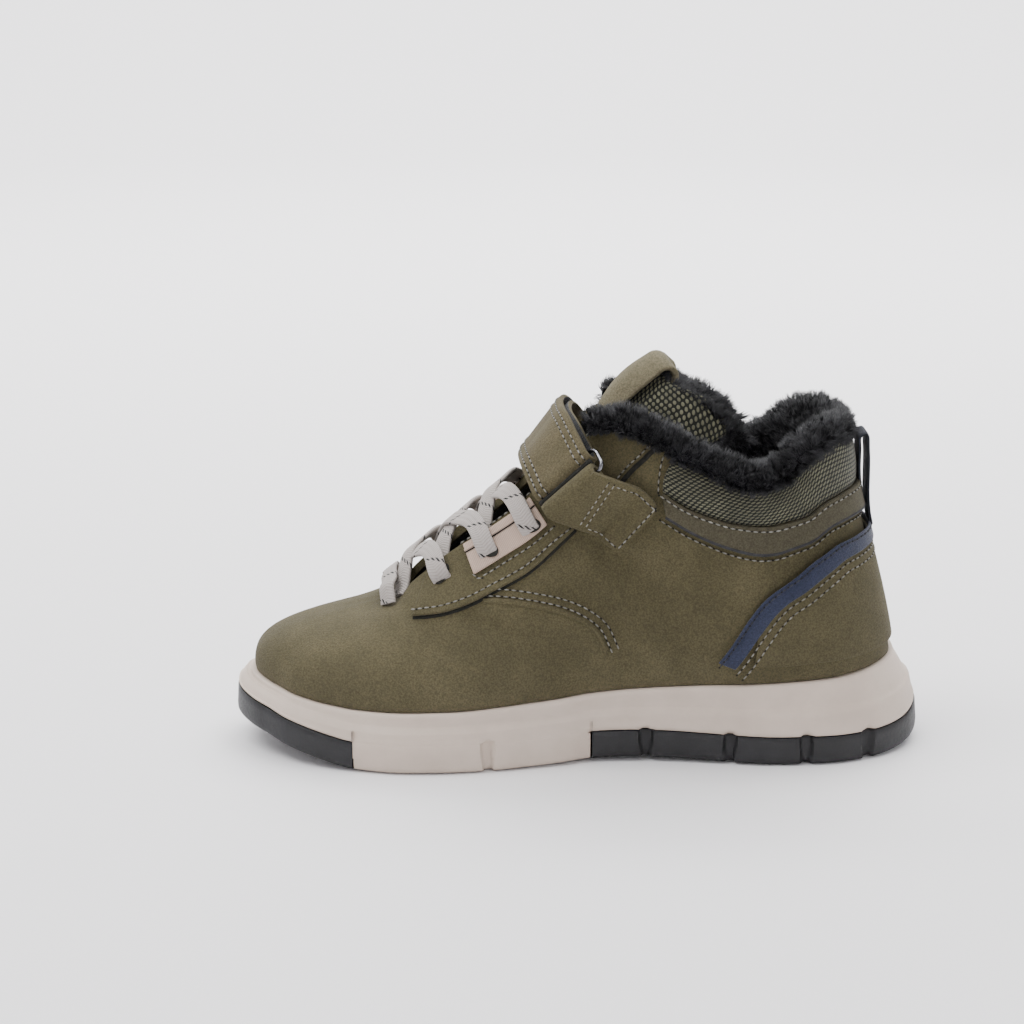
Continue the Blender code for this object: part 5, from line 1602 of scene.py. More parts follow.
@dataclass
class UpperShell:
    """Creased upper with its overlays, stitches and piping."""

    wall: float = 0.0025
    top: float = 0.0017
    mesh_front: float = 0.0290
    thread: Stitching = field(default_factory=lambda: Stitching("olive_stitches"))
    rows: list[Array] = field(default_factory=list)
    dark_rows: list[Array] = field(default_factory=list)

    def carrier(self) -> None:
        """Model the creased wall and the pile lining behind it."""
        wall = Sheet("upper_wall", (LOOP_ROWS * 6, 50), lambda u, t: skin(u * LOOP_ROWS, t, 0 * u),
                     thick=self.wall, closed=True, turned=self.faces_in()).build()
        dress(wall, Finish.OLIVE, "nubuck", ["upper"])
        depth = -self.wall - 0.0004
        pile = Sheet("pile_lining", (LOOP_ROWS * 3, 24),
                     lambda u, t: skin(u * LOOP_ROWS, 0.02 + 0.97 * t, np.full(len(u), depth)),
                     closed=True, turned=not self.faces_in()).build()
        dress(pile, Finish.LINING, "lining")

    @staticmethod
    def faces_in() -> bool:
        """Whether a sheet by stations and heights faces inwards."""
        v, t = np.array([5.0]), np.array([0.4])
        along, rise = LAST.tangents(v, t)
        return bool(np.cross(along, rise)[0] @ LAST.normal(v, t)[0] < 0)

    def stitch(self, seam: Seam, height: float, aside: float = 0.0,
               ends: tuple[float, float] = (0.0, 1.0), dark: bool = False) -> None:
        """Add a row of stitches that follows the creases."""
        row = self.thread.row(seam, height, aside, ends)
        row[:, :, 3] += row[:, :, 2] * relief(row[:, :, 3])[:, None]
        (self.dark_rows if dark else self.rows).append(row)

    @staticmethod
    def bar(name: str, seam: Seam, half: tuple[float, float], finish: Finish,
            pitch: float = 0.0012, height: float = 0.0001) -> None:
        """Bar along a seam that follows the creases."""
        points, _, outs = seam.walk(pitch, height)
        points = points + outs * relief(points)[:, None]
        dress(tube(name, points, outs, half, 8), finish, "nubuck")

    def cord(self, name: str, seam: Seam, radius: float, height: float,
             finish: Finish = Finish.PIPING) -> None:
        """Round cord along a seam."""
        self.bar(name, seam, (radius, radius), finish, 0.0016, height)

    def raised_edge(self, name: str, seam: Seam) -> None:
        """Folded edge of one panel over the next."""
        self.bar(name, seam, (0.0009, 0.0006), Finish.OLIVE)

    def shade(self, name: str, seam: Seam) -> None:
        """Dark strip of painted shade where one panel ends over another."""
        self.bar(name, seam, (0.0008, 0.0003), Finish.GROOVE)

    def eyestays(self) -> None:
        """Eyestays with their ribbed inserts, on both sides."""
        for side in Side:
            label = side.name.lower()
            low, high = (Seam.through(in_mm(EYESTAY_ROWS, k), side) for k in (0, 2))
            stay = Panel("eyestay_" + label + "_cover", low, high, (64, 22), Finish.OLIVE,
                         "nubuck", stands_for=("eyestay_" + label,))
            stay.build()
            under, over = (Seam.through(in_mm(PLATE_ROWS, k), side) for k in (0, 2))
            insert = Panel("lace_insert_" + label, under, over, (44, 12), Finish.INSERT,
                           "lace_insert", base=0.0019, thick=0.0009, puff=0.0003,
                           stands_for=("lace_plate_" + label,))
            insert.build()
            flip = 1 if side is Side.MEDIAL else -1
            ridge = insert.inside(0.72)
            self.cord("insert_ridge_" + label, ridge, 0.00045, 0.0032, Finish.INSERT)
            # Thin dark line of painted shade beside the insert's ridge.
            self.cord("insert_line_" + label, insert.inside(0.66), 0.00022, 0.0032, Finish.GROOVE)
            # Painted shade along the eyestay's lower edge.
            self.shade("eyestay_gap_" + label, low)
            self.stitch(insert.low, self.top, -0.0016 * flip, (-0.04, 1.0))
            self.stitch(insert.high, self.top, 0.0014 * flip, (0.0, 1.0))
            self.stitch(stay.inside(0.10), self.top, 0, (0.0, 1.0))

    def collar(self) -> None:
        """Padded mesh collar, the band under it and a dark cord of painted shade at its lower edge.
        """
        low, high = (Seam.both(in_mm(BAND_ROWS, k), BAND_BACK[k // 2]) for k in (0, 2))
        band = Panel("collar_band_cover", low, high, (150, 12), Finish.BAND, "nubuck",
                     thick=0.0016, stands_for=("collar_band",))
        band.build()
        stations = high.at(np.linspace(0, 1, 30))[:, 0]
        front = LAST.rim_station(self.mesh_front, Side.LATERAL)
        share = (stations - stations[0]) / (stations[-1] - stations[0])
        rim = Seam(np.column_stack([front + (LOOP_ROWS - 2 * front) * share, np.full(30, 0.985)]))
        padded = Panel("mesh_collar", high, rim, (170, 26), Finish.MESH, "mesh",
                       base=-0.0006, thick=0.0009, puff=0.0012)
        padded.build()
        self.stitch(band.inside(0.84), self.top + 0.0004)
        self.stitch(low, 0.0004, 0.0022)
        # Dark cord of painted shade along the band's lower edge.
        self.cord("collar_piping", low, 0.0007, 0.0015)

    def heel(self) -> None:
        """Heel counter with its double stitches and the navy stripe over it."""
        low, high = (Seam.both(in_mm(COUNTER_ROWS, k), COUNTER_BACK[k // 2]) for k in (0, 2))
        counter = Panel("heel_counter_cover", low, high, (100, 28), Finish.OLIVE, "nubuck",
                        stands_for=("heel_counter",))
        counter.build()
        low = Seam.both(STRIPE_LOW, STRIPE_BACK[0])
        high = Seam.both(STRIPE_HIGH, STRIPE_BACK[1])
        stripe = Panel("navy_stripe", low, high, (110, 8), Finish.NAVY, "nubuck", base=0.0018,
                       thick=0.0007)
        stripe.build()
        self.stitch(low, self.top, 0.0016)
        self.stitch(low, self.top, 0.0042)
        self.stitch(stripe.inside(0.8), 0.0026, dark=True)

    def quarter(self) -> None:
        """Ribbed side panel of the lateral side with its piping and bare patch."""
        low, high = (Seam.through(in_mm(SIDE_PANEL_ROWS, k), Side.LATERAL) for k in (0, 2))
        side = Panel("ribbed_side_panel", low, high, (70, 30), Finish.SIDE, "woven_panel",
                     stands_for=("quarter_panel",))
        side.build()
        edge = Seam.through(in_mm(SIDE_EDGE, 0), Side.LATERAL)
        self.cord("side_piping", edge, 0.0009, 0.0014)
        self.stitch(edge, self.top - 0.0010, -0.0022)
        low = Seam.through(((50, 45), (60, 45.5), (69, 47)), Side.LATERAL)
        high = Seam.through(((52, 51), (61, 52.5), (67, 52)), Side.LATERAL)
        Panel("bare_patch", low, high, (24, 10), Finish.PATCH, "sole_black", base=0.0019,
              thick=0.0010, puff=0.0003).build()

    def seams(self) -> None:
        """Stitched seams that cross the plain parts of the upper."""
        for side in Side:
            quarter = Seam.through(((23.6, 102.2), (19.5, 98.5), (15.0, 93.8), (11.0, 88.0)), side)
            self.stitch(quarter, 0.0003, 0.0019 * side.value)
            # Painted shade along the quarter seam.
            self.shade(f"quarter_gap_{side.name.lower()}", quarter)
            mesh = Seam.through(((26.6, 101.5), (24.6, 95.0), (24.2, 89.4)), side)
            self.stitch(mesh, 0.0003)
            toe = Seam.through(((8.5, 35.5), (4, 43.5), (-7, 49.5), (-20, 52), (-31, 52.5)), side)
            self.raised_edge(f"vamp_edge_{side.name.lower()}", toe)
            self.stitch(toe, 0.0003, 0.0016 * side.value)
            self.stitch(toe, 0.0003, 0.0040 * side.value)

    def build(self) -> None:
        """Model and dress the upper."""
        self.carrier()
        self.eyestays()
        self.collar()
        self.heel()
        self.quarter()
        self.seams()
        self.thread.build(self.rows, "nubuck")
        Stitching("navy_stitches", finish=Finish.DARK_THREAD).build(self.dark_rows, "nubuck")


@dataclass
class Pile:
    """Long fur set on a form in clumps of pointed strands."""

    name: str
    count: int
    length: float
    clumps: int
    seed: int
    width: float = 0.00026
    gather: float = 0.62
    spread: float = 0.35

    def build(self, root: Place, way: Callable[[Array, Array, Array], Array]) -> Piece:
        """Grow the strands.

        Args:
            root: Points of the form for two shares.
            way: Way that the hair leans, for points and both shares.

        Returns:
            The piece.
        """
        rng = np.random.default_rng(self.seed)
        u, v = rng.random(self.count), rng.random(self.count)
        cu, cv = rng.random(self.clumps), rng.random(self.clumps)
        start, middle = root(u, v), root(cu, cv)
        lean = unit(way(start, u, v) + rng.normal(0, self.spread, (self.count, 3)))
        tuft = unit(way(middle, cu, cv) + rng.normal(0, self.spread * 0.9, (self.clumps, 3)))
        reach = self.length * rng.uniform(0.65, 1.25, (self.clumps, 1))
        tips = middle + tuft * reach
        nearest = np.concatenate([
            np.argmin(np.linalg.norm(part[:, None] - middle[None], axis=2), axis=1)
            for part in np.array_split(start, 24)])
        own = self.length * rng.uniform(0.55, 1.1, (self.count, 1))
        gather = self.gather * rng.uniform(0.6, 1.2, (self.count, 1))
        tip = (start + lean * own) * (1 - gather) + tips[nearest] * gather
        knee = start + unit(lean + tuft[nearest]) * own * 0.5
        knee = knee * 0.7 + (start + tip) / 2 * 0.3
        axis = unit(tip - start)
        side = unit(np.cross(axis, unit(rng.normal(0, 1, (self.count, 3)))))
        other = np.cross(axis, side)
        rings = []
        for centre, size in ((start, 1.0), (knee, 0.8)):
            for k in range(3):
                angle = 2 * math.pi * k / 3
                rings.append(centre + (side * math.cos(angle) + other * math.sin(angle))
                             * self.width / 2 * size)
        faces = [(k, (k + 1) % 3, 3 + (k + 1) % 3, 3 + k) for k in range(3)]
        faces += [(3 + k, 3 + (k + 1) % 3, 6) for k in range(3)]
        strands = np.stack(rings + [tip], axis=1)
        return dress(repeated(self.name, strands, faces), Finish.FUR, "fur")


@dataclass
class FurCollar:
    """Fur lining rolled over the collar's rim."""

    roll: float = 0.0112
    start: float = 16.3
    lateral_start: float = 17.0
    hair: float = 0.0044
    section: Pairs = ((0.04, 0.02), (0.17, 0.00), (0.24, 0.20), (0.14, 0.44), (-0.16, 0.54),
                      (-0.48, 0.34), (-0.60, -0.30), (-0.40, -0.50))

    def frame(self, v: Array) -> tuple[Array, Array, Array]:
        """Rim's points, ways out and ways up at stations."""
        rim = LAST.point(v, np.ones(len(v)))
        out = LAST.normal(v, np.ones(len(v)))
        along, _ = LAST.tangents(v, np.ones(len(v)))
        along = unit(along)
        out = unit(out - along * np.sum(out * along, axis=1, keepdims=True))
        up = unit(np.cross(along, out))
        return rim, out, up * np.sign(up[:, [2]])

    def station(self, u: Array) -> Array:
        """Station of the top line at shares of the roll's length."""
        return self.lateral_start + (LOOP_ROWS - self.start - self.lateral_start) * u

    def point(self, u: Array, s: Array) -> Array:
        """Point of the roll at shares of its length and of its section."""
        v = self.station(u)
        rim, out, up = self.frame(v)
        flat = along_rows(self.section, s) * self.roll
        back = np.exp(-((v - LAST_ROW) / 3.6) ** 2)
        flat[:, 0] -= np.clip(flat[:, 0], 0, None) * 0.8 * back + 0.0014 * back
        flat[:, 1] *= 1 - 0.36 * back
        return rim + out * flat[:, [0]] + up * flat[:, [1]]

    def way(self, points: Array, u: Array, s: Array) -> Array:
        """Way that the hair leans: out of the roll, and down on its outside."""
        v = self.station(u)
        _, out, up = self.frame(v)
        turn = 2.6 * s[:, None]
        back = np.exp(-((v - LAST_ROW) / 3.2) ** 2)[:, None]
        away = out * np.cos(turn) * (1 - 0.8 * back) + up * np.sin(turn)
        fall = np.clip(1 - 2.2 * s, 0, 1)[:, None]
        return unit(away - up * fall * 0.9 + up * (1 - fall) * 0.25)

    def wall_point(self, u: Array, s: Array) -> Array:
        """Point of the lining behind the collar."""
        return LAST.lift(self.station(u), 0.55 + 0.42 * s, np.full(len(u), -0.0030))

    def wall_way(self, points: Array, u: Array, s: Array) -> Array:
        """Way that the lining's hair leans: in and down."""
        return -LAST.normal(self.station(u), 0.55 + 0.42 * s) - np.array((0, 0, 0.7))

    def build(self) -> None:
        """Model the roll and its hair."""
        base = Sheet("fur_roll", (220, 26), self.point, thick=0.0008, turned=True).build()
        dress(base, Finish.FUR_BASE, "fur", ["fur_collar"])
        outer = Pile("collar_fur_outer", 17000, self.hair, 560, 11)
        outer.build(lambda u, s: self.point(u, s * 0.5), lambda p, u, s: self.way(p, u, s * 0.5))
        deep = Pile("lining_fur", 5000, 0.0045, 300, 14, width=0.00046)
        deep.build(self.wall_point, self.wall_way)
        inner = Pile("collar_fur_inner", 13000, self.hair, 420, 12)
        inner.build(lambda u, s: self.point(u, 0.45 + s * 0.55),
                    lambda p, u, s: self.way(p, u, 0.45 + s * 0.55))


# Tongue stations: along, height of its face, half width and fall of its edges
TONGUE_ROWS = (
    (0.222, 0.150, 0.24, 0.030), (0.262, 0.258, 0.30, 0.050), (0.302, 0.352, 0.34, 0.062),
    (0.342, 0.438, 0.36, 0.075), (0.386, 0.532, 0.37, 0.090), (0.426, 0.630, 0.37, 0.100),
    (0.466, 0.742, 0.35, 0.105), (0.505, 0.868, 0.33, 0.110), (0.538, 0.985, 0.36, 0.130),
    (0.572, 1.095, 0.41, 0.165), (0.606, 1.185, 0.41, 0.180),
)


@dataclass
class Tongue:
    """Padded tongue with its fur behind and the suede tab folded over its top."""

    width: float = 0.044
    thick: float = 0.0060
    fur: float = 0.0062
    tab: float = 0.0022
    tab_reach: float = 0.42
    wrap: float = 0.95
    ears: float = 0.0058
    fur_row: int = 6
    tab_row: int = 8
    gap: float = 0.0003

    def frame(self, share: Array) -> tuple[Array, Array, Array, Array, Array]:
        """Centre, way ahead, way out, half width and fall at shares of the length."""
        def centre(at: Array) -> Array:
            """Centre line of the tongue's face."""
            rows = along_rows(TONGUE_ROWS, at)
            return np.column_stack([rows[:, 0] * LAST.sole_length - LAST.sole_length / 2,
                                    0 * rows[:, 0],
                                    LAST.sole_stack + rows[:, 1] * LAST.upper_rise])
        rows = along_rows(TONGUE_ROWS, share)
        ahead = unit(centre(np.clip(share + 0.01, 0, 1)) - centre(np.clip(share - 0.01, 0, 1)))
        face = unit(np.column_stack([-ahead[:, 2], 0 * share, ahead[:, 0]]))
        fall = rows[:, 3] * LAST.upper_rise * (1 + self.wrap * ease((share - 0.6) / 0.3))
        return centre(share), ahead, face, rows[:, 2] * self.width, fall

    def at(self, share: Array, across: Array, depth: Array) -> Array:
        """Point at a depth under the tongue's face.

        Args:
            share: Share of the tongue's length.
            across: Share of its half width.
            depth: Depth under its face.

        Returns:
            One point for each share.
        """
        middle, ahead, face, width, fall = self.frame(share)
        points = middle - face * (fall * across ** 2 + depth)[:, None]
        points[:, 1] += width * across
        ears = self.ears * ease((share - 0.6) / 0.4) * ease((abs(across) - self.tab_reach) / 0.4)
        return points + ahead * ears[:, None]

    def pad(self, name: str, start: float, depth: float, thick: float, widen: float,
            finish: Finish, slot: str, node: str) -> Piece:
        """Padded layer of the tongue with round edges."""
        def place(u: Array, v: Array) -> Array:
            """Point round the layer's section."""
            angle = 2 * math.pi * v
            across = flatten(np.cos(angle), 0.35) * widen
            up = flatten(np.sin(angle), 0.7)
            share = start + (1 - start) * u
            end = np.sqrt(np.clip(1 - np.clip((u - 0.965) / 0.035, 0, 1) ** 2, 0.02, 1))
            full = thick * (1 - 0.35 * ease((share - 0.82) / 0.15))
            return self.at(share, across, depth + full / 2 - up * full / 2 * end)
        piece = Sheet(name, (90, 56), place, closed=True, ends=True).build()
        return dress(piece, finish, slot, [node])

    def fold(self) -> Piece:
        """Suede tab up the front, over the top and down the back."""
        def place(u: Array, v: Array) -> Array:
            """Point of the tab's outer face."""
            row = self.tab_row / 10
            radius = self.thick / 2 - 0.0004
            up, turn, down = 0.74, 0.18, 0.08
            share = np.clip(u / up, 0, 1) * (1 - row) + row
            angle = np.clip((u - up) / turn, 0, 1) * math.pi
            back = np.clip((u - up - turn) / down, 0, 1) * 0.03
            across = (v * 2 - 1) * self.tab_reach
            depth = radius - np.cos(angle) * radius - self.tab * 0.8
            points = self.at(np.clip(share - back, 0, 1), across, depth)
            _, ahead, face, _, _ = self.frame(np.ones(len(u)))
            puff = 0.0012 * np.sin(math.pi * v) * np.sin(math.pi * np.clip(u / up, 0, 1))
            return points + ahead * (np.sin(angle) * radius)[:, None] + face * puff[:, None]
        piece = Sheet("pull_tab", (60, 26), place, thick=self.tab * 0.8, bevel=0.0005,
                      turned=True).build()
        return dress(piece, Finish.TAB, "strap_nubuck", ["tongue_tab"])

    def hair_root(self, u: Array, v: Array) -> Array:
        """Point where the tongue's hair grows, on its sides and back."""
        share = self.fur_row / 10 + (1 - self.fur_row / 10) * u
        across = np.cos(math.pi * v) * 0.97
        depth = self.thick + self.fur * np.sin(math.pi * v)
        return self.at(share, across, depth)

    def hair_way(self, points: Array, u: Array, v: Array) -> Array:
        """Way that the tongue's hair leans."""
        _, ahead, face, _, _ = self.frame(self.fur_row / 10 + (1 - self.fur_row / 10) * u)
        out = np.column_stack([0 * u, np.cos(math.pi * v), 0 * u])
        return unit(out - face * np.sin(math.pi * v)[:, None] * 0.9 + ahead * 0.25)

    def rim_root(self, u: Array, v: Array) -> Array:
        """Point where hair grows along the tongue's upper end."""
        depth = self.thick * 0.75 + self.fur * v
        return self.at(0.97 + 0.03 * v, (u * 2 - 1) * 0.98, depth)

    def rim_way(self, points: Array, u: Array, v: Array) -> Array:
        """Way that the hair of the upper end leans: out over the tongue's end."""
        _, ahead, face, _, _ = self.frame(np.ones(len(u)))
        out = np.column_stack([0 * u, (u * 2 - 1) * 0.8, 0 * u])
        return unit(out + ahead * (1.0 - 0.5 * v)[:, None] + face * (0.35 - 0.7 * v)[:, None])

    def build(self) -> None:
        """Model and dress the tongue."""
        body = self.pad("tongue_body", 0.0, 0.0, self.thick, 1.0, Finish.MESH, "mesh", "tongue")
        self.pad("tongue_fur_base", self.fur_row / 10, self.thick + 2 * self.gap, self.fur, 0.92,
                 Finish.FUR_BASE, "fur", "tongue_fur")
        Pile("tongue_hair", 9000, 0.0056, 480, 13).build(self.hair_root, self.hair_way)
        rim = Pile("tongue_rim_hair", 8500, 0.0062, 300, 15, width=0.00034)
        rim.build(self.rim_root, self.rim_way)
        self.fold()


@dataclass
class Laces:
    """Flat woven laces from hole to hole over the throat."""

    width: float = 0.0064
    thick: float = 0.0015
    crest: float = 0.0012
    dip: float = 0.00395
    bar: float = 0.022
    holes: tuple[float, ...] = (0.028, 0.103, 0.178, 0.247)
    end: float = 1.19
    tuck: float = 0.90
    # Size and lift of the painted shade ovals in the lace holes.
    hole: float = 0.0034
    hole_lift: tuple[float, float] = (0.0027, 0.0014)
    strap_row: int = 16

    def row(self, run: float) -> float:
        """Row of the upper at a distance up the throat from its front."""
        rows = np.arange(0, self.strap_row + 0.25, 0.25)
        middle = cyclic(LAST.wall[3], rows) * (1.0, 0.0, 1.0)
        return float(np.interp(run, run_of(middle), rows))

    def point(self, run: float, out: float, lift: float) -> tuple[Array, Array]:
        """Point and way out of the lace's middle.

        Args:
            run: Distance up the throat from its front.
            out: Share of the throat's half width, past one on the wall.
            lift: Height over the plain seat.

        Returns:
            The point and the way out.
        """
        seat = self.dip + self.thick / 2
        row = self.row(run)
        v = row if out > 0 else LOOP_ROWS - row
        rim = cyclic(LAST.wall[3], v)[0]
        ahead = cyclic(LAST.wall[3], row + 0.1)[0] - cyclic(LAST.wall[3], row - 0.1)[0]
        face = unit(np.array([-ahead[2], 0.0, ahead[0]]))
        if abs(out) > 1:
            t = 2 - abs(out)
            way = LAST.normal(np.array([v]), np.array([t]))[0]
            return LAST.point(np.array([v]), np.array([t]))[0] + way * (seat + lift), way
        height = seat + self.crest * (1 - out ** 2) + lift
        lean = unit(face * (1 - abs(out)) + np.array([0, np.sign(out) * 0.7 * abs(out), 0]) + face)
        return np.array([rim[0], rim[1] * abs(out), rim[2]]) + face * height, lean

    def tape(self, name: str, stations: Sequence[tuple[float, float, float]]) -> Piece:
        """Flat tape through stations of run, side share and lift."""
        fine = along_rows(stations, np.linspace(0, 1, 41))
        pairs = [self.point(*station) for station in fine]
        centre = np.array([point for point, _ in pairs])
        outs = np.array([way for _, way in pairs])
        for k in (1, 2):
            centre[k:-k] = (centre[:-2 * k] + centre[k:-k] * 2 + centre[2 * k:]) / 4
            outs[k:-k] = unit(outs[:-2 * k] + outs[k:-k] + outs[2 * k:])
        piece = tube(name, centre, outs, (self.width / 2, self.thick / 2), 20, 0.45)
        return dress(piece, Finish.LACE, "lace")

    def crossing(self, index: int) -> list[Piece]:
        """Two tapes that cross, each from under one eyestay into the other's hole."""
        low, high = (share * LAST.sole_length for share in self.holes[index - 1:index + 1])
        tapes = []
        for side in (1, -1):
            over = side == (1 if index % 2 else -1)
            arch = self.thick * (0.55 if over else -0.55)
            stations = (
                (low - 0.0010, -1.05 * side, -self.dip - 0.0012),
                (low + 0.0008, -self.tuck * side, -self.dip * 0.9),
                (low * 0.72 + high * 0.28, -0.45 * side, -self.dip * 0.35),
                ((low + high) / 2, 0.0, arch),
                (low * 0.25 + high * 0.75, 0.52 * side, 0.0),
                (high, 1.02 * side, 0.0002),
                (high + 0.0006, 1.12 * side, 0.0003),
                (high + 0.0010, self.end * side, -0.0010),
                (high + 0.0012, (self.end + 0.02) * side, -0.0050),
            )
            tapes.append(self.tape(f"lace_run_{index}_{'left' if side > 0 else 'right'}", stations))
        return tapes

    def build(self) -> None:
        """Model and dress the laces and the shadows in their holes."""
        run = self.bar * LAST.sole_length
        ends = ((run, -1.15, -0.0044), (run, -1.08, -0.0004), (run, -1.0, 0.0002), (run, -0.5, 0),
                (run, 0.0, 0), (run, 0.5, 0), (run, 1.0, 0.0002), (run, 1.08, -0.0004),
                (run, 1.15, -0.0044))
        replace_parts(self.tape("lace_bottom_bar", ends), "lace_bar")
        for index in range(1, len(self.holes)):
            tapes = self.crossing(index)
            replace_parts(tapes[0], f"lace_cross_{index}")
            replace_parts(tapes[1], f"lace_cross_{index}")
        self.dark_holes()

    def dark_holes(self) -> None:
        """Dark ovals of painted shade in the lace holes."""
        rims = []
        for k, share in enumerate(self.holes[1:]):
            for side in (1, -1):
                point, way = self.point(share * LAST.sole_length + 0.0012, (self.end - 0.02) * side,
                                        -self.hole_lift[k > 0])
                _, up = LAST.tangents(np.array([self.row(share * LAST.sole_length)]),
                                      np.array([0.9]))
                deselect()
                bpy.ops.mesh.primitive_uv_sphere_add(segments=24, ring_count=10, radius=self.hole)
                rim = bpy.context.object
                ahead = unit(np.cross(np.cross(way, up[0]), way))
                axes = frames_of(point[None], ahead[None], way[None])[0]
                flat = corner_points(rim.data) * (0.72, 1.15, 0.06)
                set_points(rim.data, flat @ axes[:, :3].T + axes[:, 3])
                rims.append(rim)
        dress(join("lace_holes", rims), Finish.GROOVE, "nubuck")


@dataclass
class InstepStrap:
    """Strap over the instep, turned round a wire ring, and the anchor of the ring."""

    width: float = 0.0230
    thick: float = 0.0022
    ease: float = 0.0018
    wire: float = 0.0026
    shift: float = 0.0010
    pile_share: float = 0.20
    anchor_width: float = 0.0215
    corner: float = 0.0042
    patch: float = 0.0160
    anchor_ease: float = 0.0008
    seat: float = 0.00045
    cover: float = 0.0012
    gap: float = 0.0003
    tilt: float = 0.93
    rounding: float = 1.6
    ring: tuple[float, float] = (0.492, 0.770)
    top: tuple[tuple[float, float, float], ...] = (
        (0.465, -0.340, 0.866), (0.457, -0.120, 0.885), (0.457, 0.120, 0.885),
        (0.465, 0.340, 0.866))
    side: Pairs = ((0.492, 0.770), (0.520, 0.690), (0.556, 0.600), (0.596, 0.500))
    anchor: Pairs = ((0.556, 0.650), (0.584, 0.580))

    @property
    def layer(self) -> float:
        """Distance between the strap's two layers at the ring."""
        return self.wire + self.thick + 2 * self.gap

    def on_wall(self, along: float, rise: float, side: Side, height: float) -> tuple:
        """Point and way out over the upper's side."""
        v, t = LAST.locate(along * LAST.sole_length - LAST.sole_length / 2,
                           LAST.sole_stack + rise * LAST.upper_rise, side)
        v, t = np.array([v]), np.array([t])
        return LAST.lift(v, t, np.array([height]))[0], LAST.normal(v, t)[0]

    @cached_property
    def frames(self) -> tuple[Array, Array, Array, Array]:
        """Under layer from the lateral end to the ring: centre, along, out and across."""
        seat = self.seat + self.cover + self.gap + self.thick / 2 + self.ease
        rows = [self.on_wall(*row, Side.LATERAL, seat) for row in self.side[::-1]]
        for along, out, rise in self.top[::-1]:
            point = np.array([along * LAST.sole_length - LAST.sole_length / 2, out * LAST.half,
                              LAST.sole_stack + rise * LAST.upper_rise])
            face = np.array([-math.sin(self.tilt), self.rounding * out, math.cos(self.tilt)])
            rows.append((point, face))
        rows.append(self.on_wall(*self.ring, Side.MEDIAL, seat))
        share = np.linspace(0, 1, 97)
        path = along_rows(np.array([point for point, _ in rows]), share)
        out = unit(along_rows(np.array([face for _, face in rows]), share))
        along = unit(np.gradient(path, axis=0))
        across = unit(np.cross(out, along))
        return path, along, unit(np.cross(along, across)), across

    def strap(self) -> None:
        """Model the strap's two layers and its stitched edges."""
        path, along, out, _ = self.frames
        count = len(path)
        layer = np.interp(np.arange(count), (0, count * 0.75, count - 1),
                          (self.thick + 2 * self.gap, self.thick + 4 * self.gap, self.layer))
        over = path + out * layer[:, None]
        turn = np.linspace(0, math.pi, 14)[1:-1]
        middle = path[-1] + out[-1] * layer[-1] / 2
        fold = [middle + (along[-1] * math.sin(a) - out[-1] * math.cos(a)) * layer[-1] / 2
                for a in turn]
        fold_out = [along[-1] * math.sin(a) - out[-1] * math.cos(a) for a in turn]
        centre = np.vstack([path, fold, over[::-1]])
        normal = np.vstack([-out, fold_out, out[::-1]])
        sides = 28
        piece = tube("strap_cover", centre, normal, (self.width / 2, self.thick / 2), sides, 0.34)
        dress(piece, Finish.STRAP, "strap_nubuck", ["strap"])
        self.line_inside(piece, len(centre) - 1, sides)
        self.hook_pile()
        thread = Stitching("strap_stitches", pitch=0.0023)
        ahead = unit(np.gradient(centre, axis=0))
        across = unit(np.cross(normal, ahead))
        rows = []
        face = centre + normal * (self.thick / 2 + 0.00002)
        first = count - 4
        for aside in (-1, 1):
            for inset in (0.0020, 0.0044):
                line = face + across * aside * (self.width / 2 - inset)
                rows.append(self.even(line[first:], ahead[first:], normal[first:], thread.pitch))
        thread.build(rows, "strap_nubuck")

    def hook_pile(self) -> None:
        """Fuzzy pile under the strap's lateral end."""
        path, along, out, across = self.frames
        reach = int(len(path) * self.pile_share)

        def root(u: Array, v: Array) -> Array:
            """Point on the strap's inner face."""
            i = np.rint(u * reach).astype(int)
            aside = (v - 0.5) * (self.width - 0.0006)
            return path[i] + across[i] * aside[:, None] - out[i] * self.thick * 0.4

        def way(points: Array, u: Array, v: Array) -> Array:
            """Way in to the upper, spread out at the edges."""
            i = np.rint(u * reach).astype(int)
            return across[i] * (v - 0.5)[:, None] * 2.4 - along[i] * 0.5 - out[i] * 0.8

        Pile("hook_pile", 3000, 0.0027, 300, 16, width=0.00030).build(root, way)

    @staticmethod
    def line_inside(piece: Piece, cols: int, sides: int) -> None:
        """Give the strap's inner face its dark lining."""
        piece.data.materials.append(Finish.LINING.made)
        count = len(piece.data.polygons)
        section = np.arange(count) // cols
        angle = 2 * math.pi * (section + 0.5) / sides
        inner = (np.sin(angle) < -0.25) & (np.arange(count) < cols * sides)
        piece.data.polygons.foreach_set("material_index", inner.astype(np.int32))

    @staticmethod
    def even(line: Array, ahead: Array, outs: Array, pitch: float) -> Array:
        """Frames at an even pitch on a line."""
        run = run_of(line)
        at = np.arange(pitch / 2, run[-1], pitch)
        parts = [read_at(at, run, part) for part in (line, ahead, outs)]
        return frames_of(parts[0], unit(parts[1]), unit(parts[2]))

    def seat_of_ring(self) -> tuple[Array, Array, Array, Array]:
        """Centre of the ring's first bar, ways along, out and across."""
        path, along, out, across = self.frames
        return path[-1] + out[-1] * self.layer / 2, along[-1], out[-1], across[-1]

